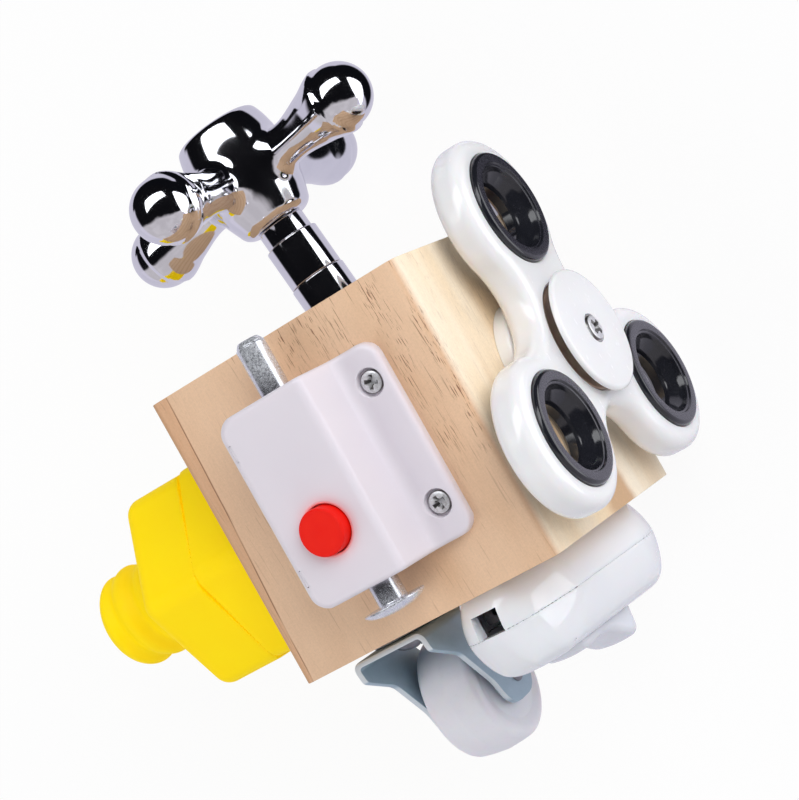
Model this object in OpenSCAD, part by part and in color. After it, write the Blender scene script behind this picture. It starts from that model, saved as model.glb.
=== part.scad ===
// Activity cube: a block of pine with six things to work with the hands.
// Front: a bolt latch with a push button. Right: a three-lobed spinner.
// Top: a cross-handled tap. Left: a big bolt with its nut.
// Bottom: a small caster and a rocker switch.
// The block stands on its bare rear face, z = 0; the latch looks up along +Z,
// the spinner lies on +X and the tap on +Y. Millimetres.

/* [Wooden cube] */
// Side of the cube
block_side = 60; // [56:0.5:70]
// Rounding of the four edges that run with the grain
block_edge_r = 2; // [0.5:0.1:4]
// Play of a screw or pin in the hole it is screwed into
screw_play = 0.05; // [0.02:0.01:0.1]
// Play of a screw in the piece that it holds, on the radius
screw_clearance = 0.1; // [0.05:0.05:0.3]

/* [Latch case] */
// Left side of the case, from the middle of the front face
case_left = -12.2; // [-16:0.1:-11]
// Right side of the screw flange
case_right = 19.3; // [18.6:0.1:24]
// Lower end of the case
case_bottom = -19; // [-22:0.1:-18]
// Upper end of the case
case_top = 20; // [19.4:0.1:24]
// Height of the case over the wood
case_height = 13; // [12.4:0.1:16]
// Thickness of the screw flange
flange_t = 2.5; // [2:0.1:4]
// Thickness of the case walls
case_wall = 1.2; // [0.8:0.1:1.6]
// Thickness of the case ceiling and of its end walls
case_ceiling = 1.5; // [1:0.1:1.9]
// Rounding of the case corners, seen from the front
case_corner_r = 3.5; // [1:0.1:5]
// Thickness of the plate that closes the case at the wood
back_plate_t = 1.2; // [0.8:0.1:1.6]
// Length of a slit for the plate's snap legs
slit_length = 3.4; // [2:0.1:5]
// Thickness of a snap leg
snap_t = 0.5; // [0.4:0.05:0.7]

/* [Latch bolt and button] */
// Bolt diameter
bolt_d = 5.8; // [5:0.1:6.2]
// Bolt axis, from the middle of the front face
bolt_x = -0.3; // [-1:0.1:0.5]
// Bolt axis over the wood
bolt_height = 6.5; // [6.2:0.1:7]
// Upper tip of the bolt, from the middle of the front face
bolt_tip = 30.7; // [28:0.1:36]
// Play of the bolt in its guides, on the radius
bolt_play = 0.08; // [0.04:0.01:0.1]
// Diameter of the mushroom head
bolt_head_d = 12.3; // [9:0.1:14]
// Thickness of the mushroom head, flat towards the case and domed outwards
bolt_head_t = 1.9; // [1.5:0.1:2.4]
// Gap between the case and the mushroom head
bolt_head_gap = 4.4; // [2:0.1:8]
// Travel of the bolt
bolt_travel = 10; // [6:0.5:11]
// Button diameter
button_d = 9; // [8:0.1:9.4]
// Button centre across the bolt
button_x = -1.2; // [-1.4:0.1:-0.2]
// Button centre along the bolt
button_y = -6.2; // [-7:0.1:-5.8]
// Height of the button over the case
button_proud = 2.6; // [2.2:0.1:4]
// Travel of the button
button_travel = 2; // [1:0.1:2.2]
// Play of the button in its hole, on the radius
button_play = 0.2; // [0.1:0.05:0.3]

/* [Latch screws] */
// Screw head diameter
latch_screw_head_d = 4.6; // [4.2:0.1:5.4]
// Screw shank diameter
latch_screw_d = 2.9; // [2.5:0.1:3.4]
// Screw axis, from the right side of the flange
latch_screw_inset = 4.1; // [3.6:0.1:4.4]
// Distance of the upper screw from the upper end of the case
latch_screw_top = 7.1; // [5:0.1:9]
// Distance of the lower screw from the lower end of the case
latch_screw_bottom = 7.2; // [5:0.1:9]
// Depth of the screws in the wood
latch_screw_depth = 11; // [8:0.5:13]

/* [Spinner] */
// Spinner axis above the middle of the right face
spinner_y = 1.9; // [0:0.1:3]
// Thickness of the spinner body
spinner_t = 7.5; // [7.2:0.1:9]
// Gap between the wood and the spinner body
spinner_standoff = 3.7; // [3.4:0.1:6]
// Distance of a lobe centre from the axis
lobe_distance = 27.2; // [26.6:0.1:29]
// Radius of a lobe
lobe_r = 15.2; // [14.2:0.1:16]
// Least distance of the outline between two lobes from the axis
waist_r = 14; // [13.4:0.1:15]
// Rounding of the body's edges
spinner_edge_r = 2.6; // [1:0.1:3]
// Outer diameter of a ring weight
weight_d = 22.7; // [21:0.1:23]
// Diameter of the hole through a ring weight
weight_hole_d = 12.4; // [10:0.1:14]
// Height of a ring weight over the body
weight_proud = 1.1; // [0.6:0.1:1.8]
// Outer diameter of the bearing
bearing_d = 22; // [21.5:0.1:22.4]
// Width of the bearing
bearing_w = 7; // [6.8:0.1:7]
// Bore of the bearing
bearing_bore_d = 8; // [7.6:0.1:8.4]
// Balls in the bearing
bearing_balls_n = 7; // [6:1:8]
// Diameter of the caps that clamp the bearing
cap_d = 25; // [22:0.1:25.4]
// Thickness of the front cap's disc
cap_t = 1.1; // [0.9:0.1:1.5]
// Gap between the spinner's body and the front cap's disc
cap_lift = 2; // [0.4:0.1:2.4]
// Diameter of the spinner's screw head
spinner_screw_head_d = 5.5; // [5:0.1:7]
// Diameter of the spinner's screw
spinner_screw_d = 3.5; // [3:0.1:4]
// Depth of the spinner's screw in the wood
spinner_screw_depth = 15; // [10:0.5:16]

/* [Tap] */
// Lean of the tap towards the left face, degrees
tap_lean = 6.35; // [0:0.05:7]
// Foot of the tap, from the middle of the top face
tap_x = -0.3; // [-1:0.1:1]
// Turn of the first arm from the right face towards the front, degrees
tap_turn = 7.5; // [-45:0.5:45]
// Diameter of the lowest sleeve of the stem
stem_base_d = 11.6; // [11.3:0.1:13]
// Diameter of the middle sleeve
stem_middle_d = 11.2; // [10.2:0.1:11.3]
// Diameter of the top sleeve
stem_top_d = 9.8; // [9:0.1:10.1]
// Top of the lowest sleeve over the wood
stem_base_h = 7.1; // [5:0.1:9]
// Top of the middle sleeve over the wood
stem_middle_h = 16; // [13:0.1:17]
// Underside of the handle over the wood
handle_foot = 19.8; // [19:0.1:24]
// Length of the handle's hub
hub_length = 22.4; // [22:0.1:26]
// Widest diameter of the hub
hub_d = 20.4; // [18:0.1:22]
// Diameter of the hub's flat top
hub_top_d = 16.4; // [14:0.1:17]
// Height of the arms' axes over the handle's underside
arm_height = 10.7; // [10:0.1:12]
// Distance of a ball centre from the handle's axis
ball_distance = 27.8; // [26:0.1:32]
// Diameter of a ball
ball_d = 13.2; // [11:0.1:15]
// Diameter of an arm at its waist
arm_waist_d = 8.4; // [7:0.1:9.4]
// Diameter of the spindle
spindle_d = 6; // [5:0.1:6.2]
// Depth of the spindle in the wood
spindle_depth = 16; // [12:0.5:18]
// Play of the handle on the spindle, on the radius
spindle_play = 0.05; // [0.03:0.01:0.1]

/* [Toy bolt and nut] */
// Width of head and nut across their flats
hex_flats = 41.4; // [36:0.1:44]
// Rounding of the six long edges
hex_corner_r = 4; // [1:0.5:6]
// Bolt axis above the middle of the left face
toy_bolt_y = -3.5; // [-5:0.1:0]
// Thickness of the head
toy_head_t = 14.4; // [12:0.1:18]
// Thickness of the nut
toy_nut_t = 15.3; // [12:0.1:18]
// Turn of the head from the nut's flats, degrees
toy_head_turn = 3; // [0:0.5:30]
// Diameter of the threaded end over its crests
stud_d = 21; // [18:0.1:24]
// Tip of the threaded end over the wood
stud_length = 51; // [46:0.5:56]
// Rounding at the tip of the threaded end
stud_end_r = 4.5; // [1:0.5:6]
// Play of the nut on the crests, on the radius
toy_nut_play = 0.3; // [0.1:0.05:0.6]
// Diameter of the hidden screw that holds the head
dowel_d = 8; // [6:0.5:10]

/* [Caster] */
// Swivel axis across the bottom face, from its middle
caster_x = -16.8; // [-18:0.1:-16]
// Swivel axis over the rear face
caster_z = 39; // [37:0.1:40]
// Width over the fork's legs
fork_w = 17.2; // [16.8:0.1:19]
// Thickness of the fork's sheet
fork_sheet = 1.2; // [0.8:0.1:1.3]
// Front end of the fork's web, from the swivel axis
web_front = 11; // [10:0.1:12]
// Back end of the fork's web, from the swivel axis
web_back = 11; // [10:0.1:12]
// Thickness of the washer between fork and wood
caster_washer_t = 1.3; // [1:0.1:2]
// Offset of the axle from the swivel axis
caster_trail = 13.4; // [13:0.1:15]
// Depth of the axle under the wood
axle_depth = 18.3; // [17.6:0.1:20]
// Diameter of the wheel
wheel_d = 27; // [24:0.1:28]
// Width of the wheel over its hub
wheel_w = 14.2; // [12:0.1:14.4]
// Diameter of the axle
axle_d = 3; // [2.5:0.1:4]
// Play of the wheel on its axle, on the radius
axle_play = 0.08; // [0.05:0.01:0.1]
// Diameter of the caster's screw
caster_screw_d = 4; // [3:0.1:5]

/* [Rocker switch] */
// Length of the switch
switch_l = 57; // [52:0.1:60]
// Width of the switch at its parting line
switch_w = 24.2; // [22:0.1:25]
// Slant of its corners
switch_corner = 8.5; // [7:0.1:9]
// Middle of the switch across the bottom face
switch_x = 12.3; // [11:0.1:14]
// Middle of the switch over the rear face
switch_z = 29.6; // [28:0.1:31]
// Turn of the switch on the wood, degrees
switch_yaw = 7; // [0:0.5:8]
// Depth of the parting line under the wood
switch_split = 7.9; // [7.5:0.1:9]
// Height of the switch
switch_h = 17.5; // [16.8:0.1:19]
// Thickness of its shells
switch_wall = 1.6; // [1.2:0.1:2]
// Length of the rocker
rocker_l = 24; // [22:0.1:30]
// Width of the rocker
rocker_w = 10.5; // [8:0.1:11]
// Height of the rocker's two humps over the cover when it stands level
rocker_rise = 3.9; // [3.6:0.1:5]
// Tilt of the rocker to either side, degrees
rocker_tilt = 12; // [6:0.5:13]
// Play around the rocker in its opening
rocker_play = 0.5; // [0.4:0.05:0.8]
// Play of the rocker on its pin, on the radius
pivot_play = 0.08; // [0.05:0.01:0.1]
// Width of the window for a cord
window_w = 6.1; // [5:0.1:8]
// Height of the window for a cord
window_h = 4.5; // [3.5:0.1:5]

/* [Hidden] */
$fn = 48;
half = block_side / 2;
// Cuts run past the faces that they open by this much
over = 0.5;
// Small clear gap between two pieces that lie against each other
seat = 0.1;
// Air left under the end of a screw in its hole
screw_end_gap = 0.3;

// Shared shapes

// Unit vector from one point to another
function toward(a, b) = (b - a) / norm(b - a);

// Points of one corner: the arc of radius r that rounds it, or the corner itself
function corner_points(a, b, c, r, steps) =
    r <= 0 ? [b] :
    let (
        u = toward(b, a),
        v = toward(b, c),
        open = acos(u * v) / 2,
        middle = b + (u + v) / norm(u + v) * r / sin(open),
        from = b + u * r / tan(open) - middle,
        side = u[0] * v[1] - u[1] * v[0] > 0 ? 1 : -1,
        first = atan2(from[1], from[0]),
        sweep = side * (180 - 2 * open)
    )
    [for (k = [0:steps]) middle + r * [cos(first - sweep * k / steps), sin(first - sweep * k / steps)]];

// Closed outline through corners [x, y, r], each rounded to its own radius
function rounded(corners, steps = 5) = [
    for (i = [0:len(corners) - 1])
        let (
            n = len(corners),
            a = corners[(i + n - 1) % n],
            b = corners[i],
            c = corners[(i + 1) % n]
        )
        each corner_points([a[0], a[1]], [b[0], b[1]], [c[0], c[1]], b[2], steps)
];

// Rectangle from two opposite corners, rounded
function rounded_box(x0, y0, x1, y1, r, steps = 5) =
    rounded([[x0, y0, r], [x1, y0, r], [x1, y1, r], [x0, y1, r]], steps);

// Points of an arc
function arc(centre, r, from, to, steps) = [
    for (k = [0:steps])
        let (a = from + (to - from) * k / steps)
        centre + r * [cos(a), sin(a)]
];

// Frames of the five worked faces: local z leaves the wood
module on_front() { translate([0, 0, block_side]) children(); }
module on_right() { translate([half, 0, half]) rotate([0, 90, 0]) children(); }
module on_top() { translate([0, half, half]) rotate([-90, 0, 0]) children(); }
module on_left() { translate([-half, 0, half]) rotate([0, -90, 0]) children(); }
module on_bottom() { translate([0, -half, 0]) rotate([90, 0, 0]) children(); }

// Extrusion whose far edge, and near edge too if both is set, is rounded in steps;
// the child outline draws itself smaller by $inset
module soft_extrude(height, edge_r, both = false, steps = 4) {
    for (k = [0:steps]) {
        $inset = k == 0 ? 0 : edge_r * (1 - cos(90 * (k - 0.5) / steps));
        rest = edge_r * (1 - sin(90 * k / steps));
        low = both ? rest : 0;
        translate([0, 0, low]) linear_extrude(height - rest - low) children();
    }
}

// Pan head screw standing on z = 0: domed head, cross recess, shank below
module pan_screw(head_d, head_h, shank_d, depth, recess = 0.55) {
    difference() {
        union() {
            rotate_extrude() polygon(concat(
                [[0, 0], [head_d / 2, 0]],
                [for (k = [1:5]) [head_d / 2 * cos(15 * k), head_h * sin(15 * k)]],
                [[0, head_h]]
            ));
            translate([0, 0, -depth]) cylinder(h = depth + head_h / 2, d = shank_d);
        }
        for (turn = [0, 90]) rotate([0, 0, turn + 25])
            translate([-head_d * recess / 2, -head_d * 0.07, head_h * 0.45])
                cube([head_d * recess, head_d * 0.14, head_h]);
    }
}

// Wooden cube

// Hole in the wood for a screw or pin of diameter d, down to a depth
module driven_hole(depth, d, above = over) {
    translate([0, 0, -depth]) cylinder(h = depth + above, d = d + 2 * screw_play);
}

module wood_block() {
    color("burlywood") difference() {
        translate([0, half, half]) rotate([90, 0, 0]) linear_extrude(block_side)
            polygon(rounded_box(-half, -half, half, half, block_edge_r));
        on_front() latch_screw_places()
            driven_hole(latch_screw_depth, latch_screw_d);
        on_spinner() driven_hole(spinner_screw_depth, spinner_screw_d);
        on_tap_axis() driven_hole(spindle_depth, spindle_d, 2);
        on_toy_bolt() driven_hole(dowel_depth, dowel_d);
        on_caster() driven_hole(caster_screw_depth, caster_screw_d);
        on_switch() switch_screw_places() driven_hole(switch_screw_depth, switch_screw_d);
    }
}

// Bolt latch on the front face

latch_screw_x = case_right - latch_screw_inset;
latch_screw_head_h = latch_screw_head_d * 0.24;
// Depth of the ring around each screw head, whose top stays under the flange
latch_screw_sink = latch_screw_head_h + 0.4;
// Upper corner and foot of the case's slanted side wall
wall_top_x = bolt_x + bolt_d / 2 + case_wall + 4.7;
wall_foot_x = wall_top_x + 2.4;
// Room inside the case
room_left = case_left + case_wall;
room_right = wall_top_x - case_wall;
room_bottom = case_bottom + case_ceiling;
room_top = case_top - case_ceiling;
room_height = case_height - case_ceiling;
// Collar on the bolt, against the upper end wall
collar_t = 1.1;
collar_d = bolt_d + 2.8;
collar_top = room_top - seat;
// Partition that the bolt's spring pushes against, as far down as the bolt's travel needs
closed_spring = 5.9;
partition_t = 1.4;
partition_y = collar_top - collar_t - bolt_travel - closed_spring - partition_t;
spring_top = collar_top - collar_t - seat;
spring_bottom = partition_y + partition_t + seat;
// Snap legs, one near each end of the plate, with their play in the slits
snap_play = 0.05;
snap_x = room_left + 0.35;
snap_places = [room_bottom + 5.5, room_top - 4.8];

module latch_screw_places() {
    for (y = [case_top - latch_screw_top, case_bottom + latch_screw_bottom])
        translate([latch_screw_x, y, 0]) children();
}

// Along the bolt: local z runs from the lower end of the case to the tip
module on_bolt_axis() {
    on_front() translate([bolt_x, 0, bolt_height]) rotate([-90, 0, 0]) children();
}

module latch_case() {
    side = [
        [case_left, 0, 0], [wall_foot_x + 4, 0, 0], [case_right, 0, 0],
        [case_right, flange_t, 1.6], [wall_foot_x, flange_t, 1.8],
        [wall_top_x, case_height, 1.2], [case_left, case_height, 2.2]
    ];
    color("ghostwhite") on_front() difference() {
        intersection() {
            translate([0, case_top, 0]) rotate([90, 0, 0])
                linear_extrude(case_top - case_bottom) polygon(rounded(side));
            linear_extrude(case_height)
                polygon(rounded_box(case_left, case_bottom, case_right, case_top, case_corner_r));
        }
        for (room = [[room_bottom, partition_y], [partition_y + partition_t, room_top]])
            translate([room_left, room[0], -over])
                cube([room_right - room_left, room[1] - room[0], room_height + over]);
        translate([room_left, room_bottom, -over])
            cube([room_right - room_left, room_top - room_bottom, back_plate_t + over]);
        translate([bolt_x, case_bottom - over, bolt_height]) rotate([-90, 0, 0])
            cylinder(h = case_top - case_bottom + 2 * over, d = bolt_d + 2 * bolt_play);
        translate([button_x, button_y, room_height - over])
            cylinder(h = case_ceiling + 2 * over, d = button_d + 2 * button_play);
        for (y = snap_places)
            translate([snap_x - snap_t / 2 - snap_play, y - slit_length / 2, room_height - over])
                cube([snap_t + 2 * snap_play, slit_length, case_ceiling + 2 * over]);
        latch_screw_places() {
            translate([0, 0, -over])
                cylinder(h = flange_t + 2 * over, d = latch_screw_d + 2 * screw_clearance);
            translate([0, 0, flange_t - latch_screw_sink])
                cylinder(h = case_height, d = latch_screw_head_d + 0.8);
        }
    }
}

module latch_back_plate() {
    color("whitesmoke") on_front() {
        translate([room_left + seat, room_bottom + seat, 0])
            cube([room_right - room_left - 2 * seat, room_top - room_bottom - 2 * seat, back_plate_t]);
        for (y = snap_places)
            translate([snap_x - snap_t / 2, y - slit_length / 2 + seat, 0])
                cube([snap_t, slit_length - 2 * seat, case_height - 0.4]);
    }
}

module latch_bolt() {
    head_y = case_bottom - bolt_head_gap;
    head_r = bolt_head_d / 2;
    r = bolt_d / 2;
    color("silver") on_bolt_axis() rotate_extrude() polygon(concat(
        [for (k = [0:4]) [head_r * sin(16 * k), head_y - bolt_head_t * cos(16 * k)]],
        [[head_r, head_y - 0.35], [head_r - 0.15, head_y], [r + 0.4, head_y], [r, head_y + 0.4],
         [r, collar_top - collar_t], [r - 0.5, collar_top - collar_t],
         [r - 0.5, collar_top], [r, collar_top]],
        arc([r - 1, bolt_tip - 1], 1, 0, 90, 4),
        [[0, bolt_tip]]
    ));
}

module latch_collar() {
    color("dimgray") on_bolt_axis() translate([0, 0, collar_top - collar_t]) difference() {
        cylinder(h = collar_t, d = collar_d);
        translate([0, 0, -over]) cylinder(h = collar_t + 2 * over, d = bolt_d - 1 + 2 * screw_play);
        translate([0, -bolt_d * 0.35, -over]) cube([collar_d, bolt_d * 0.7, collar_t + 2 * over]);
    }
}

module latch_bolt_spring() {
    color("gray") on_bolt_axis() translate([0, 0, spring_bottom]) difference() {
        cylinder(h = spring_top - spring_bottom, d = bolt_d + 2);
        translate([0, 0, -over]) cylinder(h = spring_top - spring_bottom + 2 * over, d = bolt_d + 0.6);
    }
}

// The button's yoke hangs from the ceiling and straddles the bolt
yoke_top = room_height - 2 * seat;
yoke_t = 1.3;
yoke_l = 8;
yoke_leg_t = 1.6;
yoke_half_gap = bolt_d / 2 + 0.3;
button_spring_x = room_left + 3;
button_spring_d = 3.6;

module latch_button() {
    top = case_height + button_proud;
    roof = bolt_height + yoke_half_gap + button_travel;
    leg_foot = bolt_height - 1.8;
    arm_x = room_left + 1;
    foot_x = bolt_x - yoke_half_gap - yoke_leg_t;
    color("red") on_front() difference() {
        union() {
            translate([button_x, button_y, 0]) rotate_extrude() polygon(concat(
                [[0, yoke_top - yoke_t], [button_d / 2, yoke_top - yoke_t]],
                arc([button_d / 2 - 0.8, top - 0.8], 0.8, 0, 90, 4),
                [[0, top]]
            ));
            translate([arm_x, button_y - yoke_l / 2, yoke_top - yoke_t])
                cube([bolt_x + yoke_half_gap + yoke_leg_t - arm_x, yoke_l, yoke_t]);
            for (x = [foot_x, bolt_x + yoke_half_gap])
                translate([x, button_y - yoke_l / 2, leg_foot])
                    cube([yoke_leg_t, yoke_l, yoke_top - leg_foot]);
        }
        translate([bolt_x - yoke_half_gap, button_y - button_d / 2 - over, 0])
            cube([2 * yoke_half_gap, button_d + 2 * over, roof]);
    }
}

module latch_button_spring() {
    color("gray") on_front() translate([button_spring_x, button_y, back_plate_t + seat]) difference() {
        length = yoke_top - yoke_t - back_plate_t - 2 * seat;
        cylinder(h = length, d = button_spring_d);
        translate([0, 0, -over]) cylinder(h = length + 2 * over, d = button_spring_d - 1.2);
    }
}

module latch_screws() {
    foot = flange_t - latch_screw_sink;
    color("lightgray") on_front() latch_screw_places() translate([0, 0, foot])
        pan_screw(latch_screw_head_d, latch_screw_head_h, latch_screw_d,
            foot + latch_screw_depth - screw_end_gap);
}

// Spinner on the right face

lobe_turns = [90, 210, 330];
spinner_top = spinner_standoff + spinner_t;
// Arc of radius hollow_r between two lobes, tangent to both
hollow_r = (waist_r * waist_r + lobe_distance * lobe_distance - lobe_r * lobe_r
    - waist_r * lobe_distance) / (2 * lobe_r - 2 * waist_r + lobe_distance);
hollow_distance = waist_r + hollow_r;
// Half the angle that a lobe's arc covers
lobe_sweep = atan2(hollow_distance * sin(60), hollow_distance * cos(60) - lobe_distance);
bearing_bottom = spinner_standoff + (spinner_t - bearing_w) / 2;
bearing_top = bearing_bottom + bearing_w;
bearing_middle = bearing_bottom + bearing_w / 2;
pitch_r = (bearing_d + bearing_bore_d) / 4;
ball_r = (bearing_d - bearing_bore_d) / 7;
race_t = (bearing_d - bearing_bore_d) / 8;
// Gap between the spinner's body and the rear cap's disc
cap_gap = 0.4;
cap_stem_d = bearing_bore_d - 0.1;
cap_shoulder_d = bearing_bore_d + 2 * race_t - 0.8;
front_cap_foot = spinner_top + cap_lift;
front_cap_top = front_cap_foot + cap_t;
spinner_screw_sink = 1;

module on_spinner() { on_right() translate([0, spinner_y, 0]) children(); }

module lobe_places() {
    for (turn = lobe_turns) rotate([0, 0, turn]) translate([lobe_distance, 0, 0]) children();
}

module spinner_outline(inset = 0) {
    polygon([
        for (turn = lobe_turns)
            each concat(
                arc(lobe_distance * [cos(turn), sin(turn)], lobe_r - inset,
                    turn - lobe_sweep, turn + lobe_sweep, 18),
                [for (k = [1:7])
                    let (a = turn + lobe_sweep - 180 + (120 - 2 * lobe_sweep) * k / 8)
                    hollow_distance * [cos(turn + 60), sin(turn + 60)]
                        + (hollow_r + inset) * [cos(a), sin(a)]]
            )
    ]);
}

module spinner_body() {
    color("white") on_spinner() difference() {
        translate([0, 0, spinner_standoff]) soft_extrude(spinner_t, spinner_edge_r, both = true)
            spinner_outline($inset);
        lobe_places() translate([0, 0, spinner_standoff - over])
            cylinder(h = spinner_t + 2 * over, d = weight_d + 2 * screw_play);
        translate([0, 0, spinner_standoff - over])
            cylinder(h = spinner_t + 2 * over, d = bearing_d + 2 * screw_play);
        translate([0, 0, spinner_top - 0.5])
            cylinder(h = 1, d1 = bearing_d, d2 = bearing_d + 2);
    }
}

module spinner_weight(turn) {
    r = weight_d / 2;
    hole_r = weight_hole_d / 2;
    top = spinner_t + weight_proud;
    // The dished slope runs from the hole up to a rim of this width
    rim_w = 2.6;
    color("black") on_spinner() rotate([0, 0, turn]) translate([lobe_distance, 0, spinner_standoff])
        rotate_extrude() polygon(concat(
            [[hole_r, spinner_t * 0.35], [hole_r + 0.6, 2], [r - 2.1, 0.4], [r - 1.2, 0], [r, 0.5]],
            arc([r - 0.9, top - 0.9], 0.9, 0, 90, 4),
            [[r - 1.9, top], [r - 2.2, top - 0.4]],
            arc([hole_r, top - 0.2], r - rim_w - hole_r, -8, -60, 5),
            [[hole_r, top - 3.6]]
        ));
}

module spinner_weight_1() { spinner_weight(lobe_turns[0]); }
module spinner_weight_2() { spinner_weight(lobe_turns[1]); }
module spinner_weight_3() { spinner_weight(lobe_turns[2]); }

module ball_groove() {
    translate([0, 0, bearing_middle]) rotate_extrude() translate([pitch_r, 0])
        circle(r = ball_r + screw_play);
}

module spinner_outer_race() {
    shield_t = 0.3;
    shield_inner_d = bearing_bore_d + 2 * race_t + 1;
    color("tan") on_spinner() {
        difference() {
            translate([0, 0, bearing_bottom]) cylinder(h = bearing_w, d = bearing_d);
            translate([0, 0, bearing_bottom - over])
                cylinder(h = bearing_w + 2 * over, d = bearing_d - 2 * race_t);
            ball_groove();
        }
        for (z = [bearing_bottom + 0.2, bearing_top - 0.2 - shield_t])
            translate([0, 0, z]) difference() {
                cylinder(h = shield_t, d = bearing_d - race_t);
                translate([0, 0, -over]) cylinder(h = shield_t + 2 * over, d = shield_inner_d);
            }
    }
}

module spinner_inner_race() {
    color("silver") on_spinner() difference() {
        translate([0, 0, bearing_bottom]) cylinder(h = bearing_w, d = bearing_bore_d + 2 * race_t);
        translate([0, 0, bearing_bottom - over])
            cylinder(h = bearing_w + 2 * over, d = bearing_bore_d);
        ball_groove();
    }
}

module spinner_balls() {
    color("silver") on_spinner() for (k = [0:bearing_balls_n - 1])
        rotate([0, 0, 360 / bearing_balls_n * k])
            translate([pitch_r, 0, bearing_middle]) sphere(r = ball_r);
}

module spinner_front_cap() {
    r = cap_d / 2;
    cap_edge_r = cap_t * 0.6;
    color("white") on_spinner() difference() {
        rotate_extrude() polygon(concat(
            [[0, bearing_middle + seat], [cap_stem_d / 2, bearing_middle + seat],
             [cap_stem_d / 2, bearing_top], [cap_shoulder_d / 2, bearing_top],
             [cap_shoulder_d / 2, front_cap_foot], [r - 0.25, front_cap_foot],
             [r, front_cap_foot + 0.25]],
            arc([r - cap_edge_r, front_cap_top - cap_edge_r], cap_edge_r, 0, 90, 4),
            [[0, front_cap_top]]
        ));
        translate([0, 0, bearing_bottom])
            cylinder(h = bearing_w * 2, d = spinner_screw_d + 2 * screw_play);
        translate([0, 0, front_cap_top - spinner_screw_sink])
            cylinder(h = cap_t, d = spinner_screw_head_d + 0.4);
    }
}

module spinner_rear_cap() {
    color("white") on_spinner() difference() {
        union() {
            cylinder(h = spinner_standoff - cap_gap, d = cap_d - 0.6);
            cylinder(h = bearing_bottom, d = cap_shoulder_d);
            cylinder(h = bearing_middle, d = cap_stem_d);
        }
        translate([0, 0, -over])
            cylinder(h = bearing_w * 2, d = spinner_screw_d + 2 * screw_play);
    }
}

module spinner_screw() {
    foot = front_cap_top - spinner_screw_sink;
    color("lightgray") on_spinner() translate([0, 0, foot])
        pan_screw(spinner_screw_head_d, spinner_screw_head_d * 0.28, spinner_screw_d,
            foot + spinner_screw_depth - screw_end_gap);
}

// Tap on the top face

hub_top = handle_foot + hub_length;
arm_z = handle_foot + arm_height;
plug_t = 1.6;
plug_d = hub_top_d - 3.4;
// Shoulder inside the hub that the spindle's screw holds down
hub_shoulder = handle_foot + hub_length * 0.65;
tap_screw_head_d = spindle_d + 3;

module on_tap_axis() { on_top() translate([tap_x, 0, 0]) rotate([0, -tap_lean, 0]) children(); }

module tap_arm() {
    waist = arm_waist_d / 2;
    ball = ball_d / 2;
    span = ball_distance;
    root = hub_d * 0.31;
    rotate([0, 90, 0]) rotate_extrude() polygon(concat(
        [[0, root], [waist + 1.3, root], [waist + 0.8, span * 0.27], [waist, span * 0.41],
         [waist + 0.25, span * 0.54], [waist * 0.6 + ball * 0.4, span * 0.67],
         [waist * 0.2 + ball * 0.8, span * 0.82]],
        [for (k = [0:8]) [ball * sin(108 - 13.5 * k), span + ball * cos(108 - 13.5 * k)]]
    ));
}

module tap_handle() {
    color("silver") on_tap_axis() difference() {
        union() {
            translate([0, 0, handle_foot]) rotate_extrude() polygon([
                [0, 0], [5.6, 0], [6.9, 0.5], [7.5, 1.6], [hub_d * 0.41, 3.6],
                [hub_d * 0.47, 6.6], [hub_d / 2, arm_height], [hub_d / 2, arm_height + 3.5],
                [hub_d * 0.485, hub_length - 4.6], [hub_d * 0.45, hub_length - 2],
                [hub_top_d / 2, hub_length - 0.5], [hub_top_d / 2 - 0.5, hub_length], [0, hub_length]
            ]);
            for (turn = [0:90:270]) translate([0, 0, arm_z]) rotate([0, 0, turn - tap_turn]) tap_arm();
        }
        translate([0, 0, handle_foot - over])
            cylinder(h = hub_length, d = spindle_d + 2 * spindle_play);
        translate([0, 0, hub_shoulder]) cylinder(h = hub_length, d = tap_screw_head_d + 0.8);
        translate([0, 0, hub_top - plug_t]) cylinder(h = plug_t + over, d = plug_d + 2 * screw_play);
    }
}

module tap_plug() {
    color("silver") on_tap_axis() translate([0, 0, hub_top - plug_t]) rotate_extrude() polygon([
        [0, 0], [plug_d / 2, 0], [plug_d / 2, plug_t - 0.3], [plug_d / 2 - 0.3, plug_t], [0, plug_t]
    ]);
}

module tap_handle_screw() {
    color("gray") on_tap_axis() translate([0, 0, hub_shoulder + seat])
        pan_screw(tap_screw_head_d, tap_screw_head_d / 3, spindle_d / 2, spindle_d);
}

module tap_sleeve(bottom, top, d) {
    color("silver") on_tap_axis() difference() {
        translate([0, 0, bottom]) cylinder(h = top - bottom, d = d);
        translate([0, 0, bottom - over])
            cylinder(h = top - bottom + 2 * over, d = spindle_d + 2 * spindle_play);
        rotate([0, tap_lean, 0]) translate([-d, -d, -2 * d]) cube([2 * d, 2 * d, 2 * d]);
    }
}

module tap_stem_base() { tap_sleeve(-2, stem_base_h - seat, stem_base_d); }
module tap_stem_middle() { tap_sleeve(stem_base_h, stem_middle_h - seat, stem_middle_d); }
module tap_stem_top() { tap_sleeve(stem_middle_h, handle_foot - 0.2, stem_top_d); }

module tap_spindle() {
    color("gray") on_tap_axis() difference() {
        translate([0, 0, -spindle_depth + screw_end_gap])
            cylinder(h = spindle_depth + hub_shoulder + seat - screw_end_gap, d = spindle_d);
        translate([0, 0, hub_shoulder - spindle_d - 1])
            cylinder(h = spindle_d + 2, d = spindle_d / 2 + 2 * screw_play);
    }
}

// Toy bolt and nut on the left face

dowel_depth = 15;
dowel_grip = 11;

module on_toy_bolt() { on_left() translate([0, toy_bolt_y, 0]) children(); }

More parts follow.
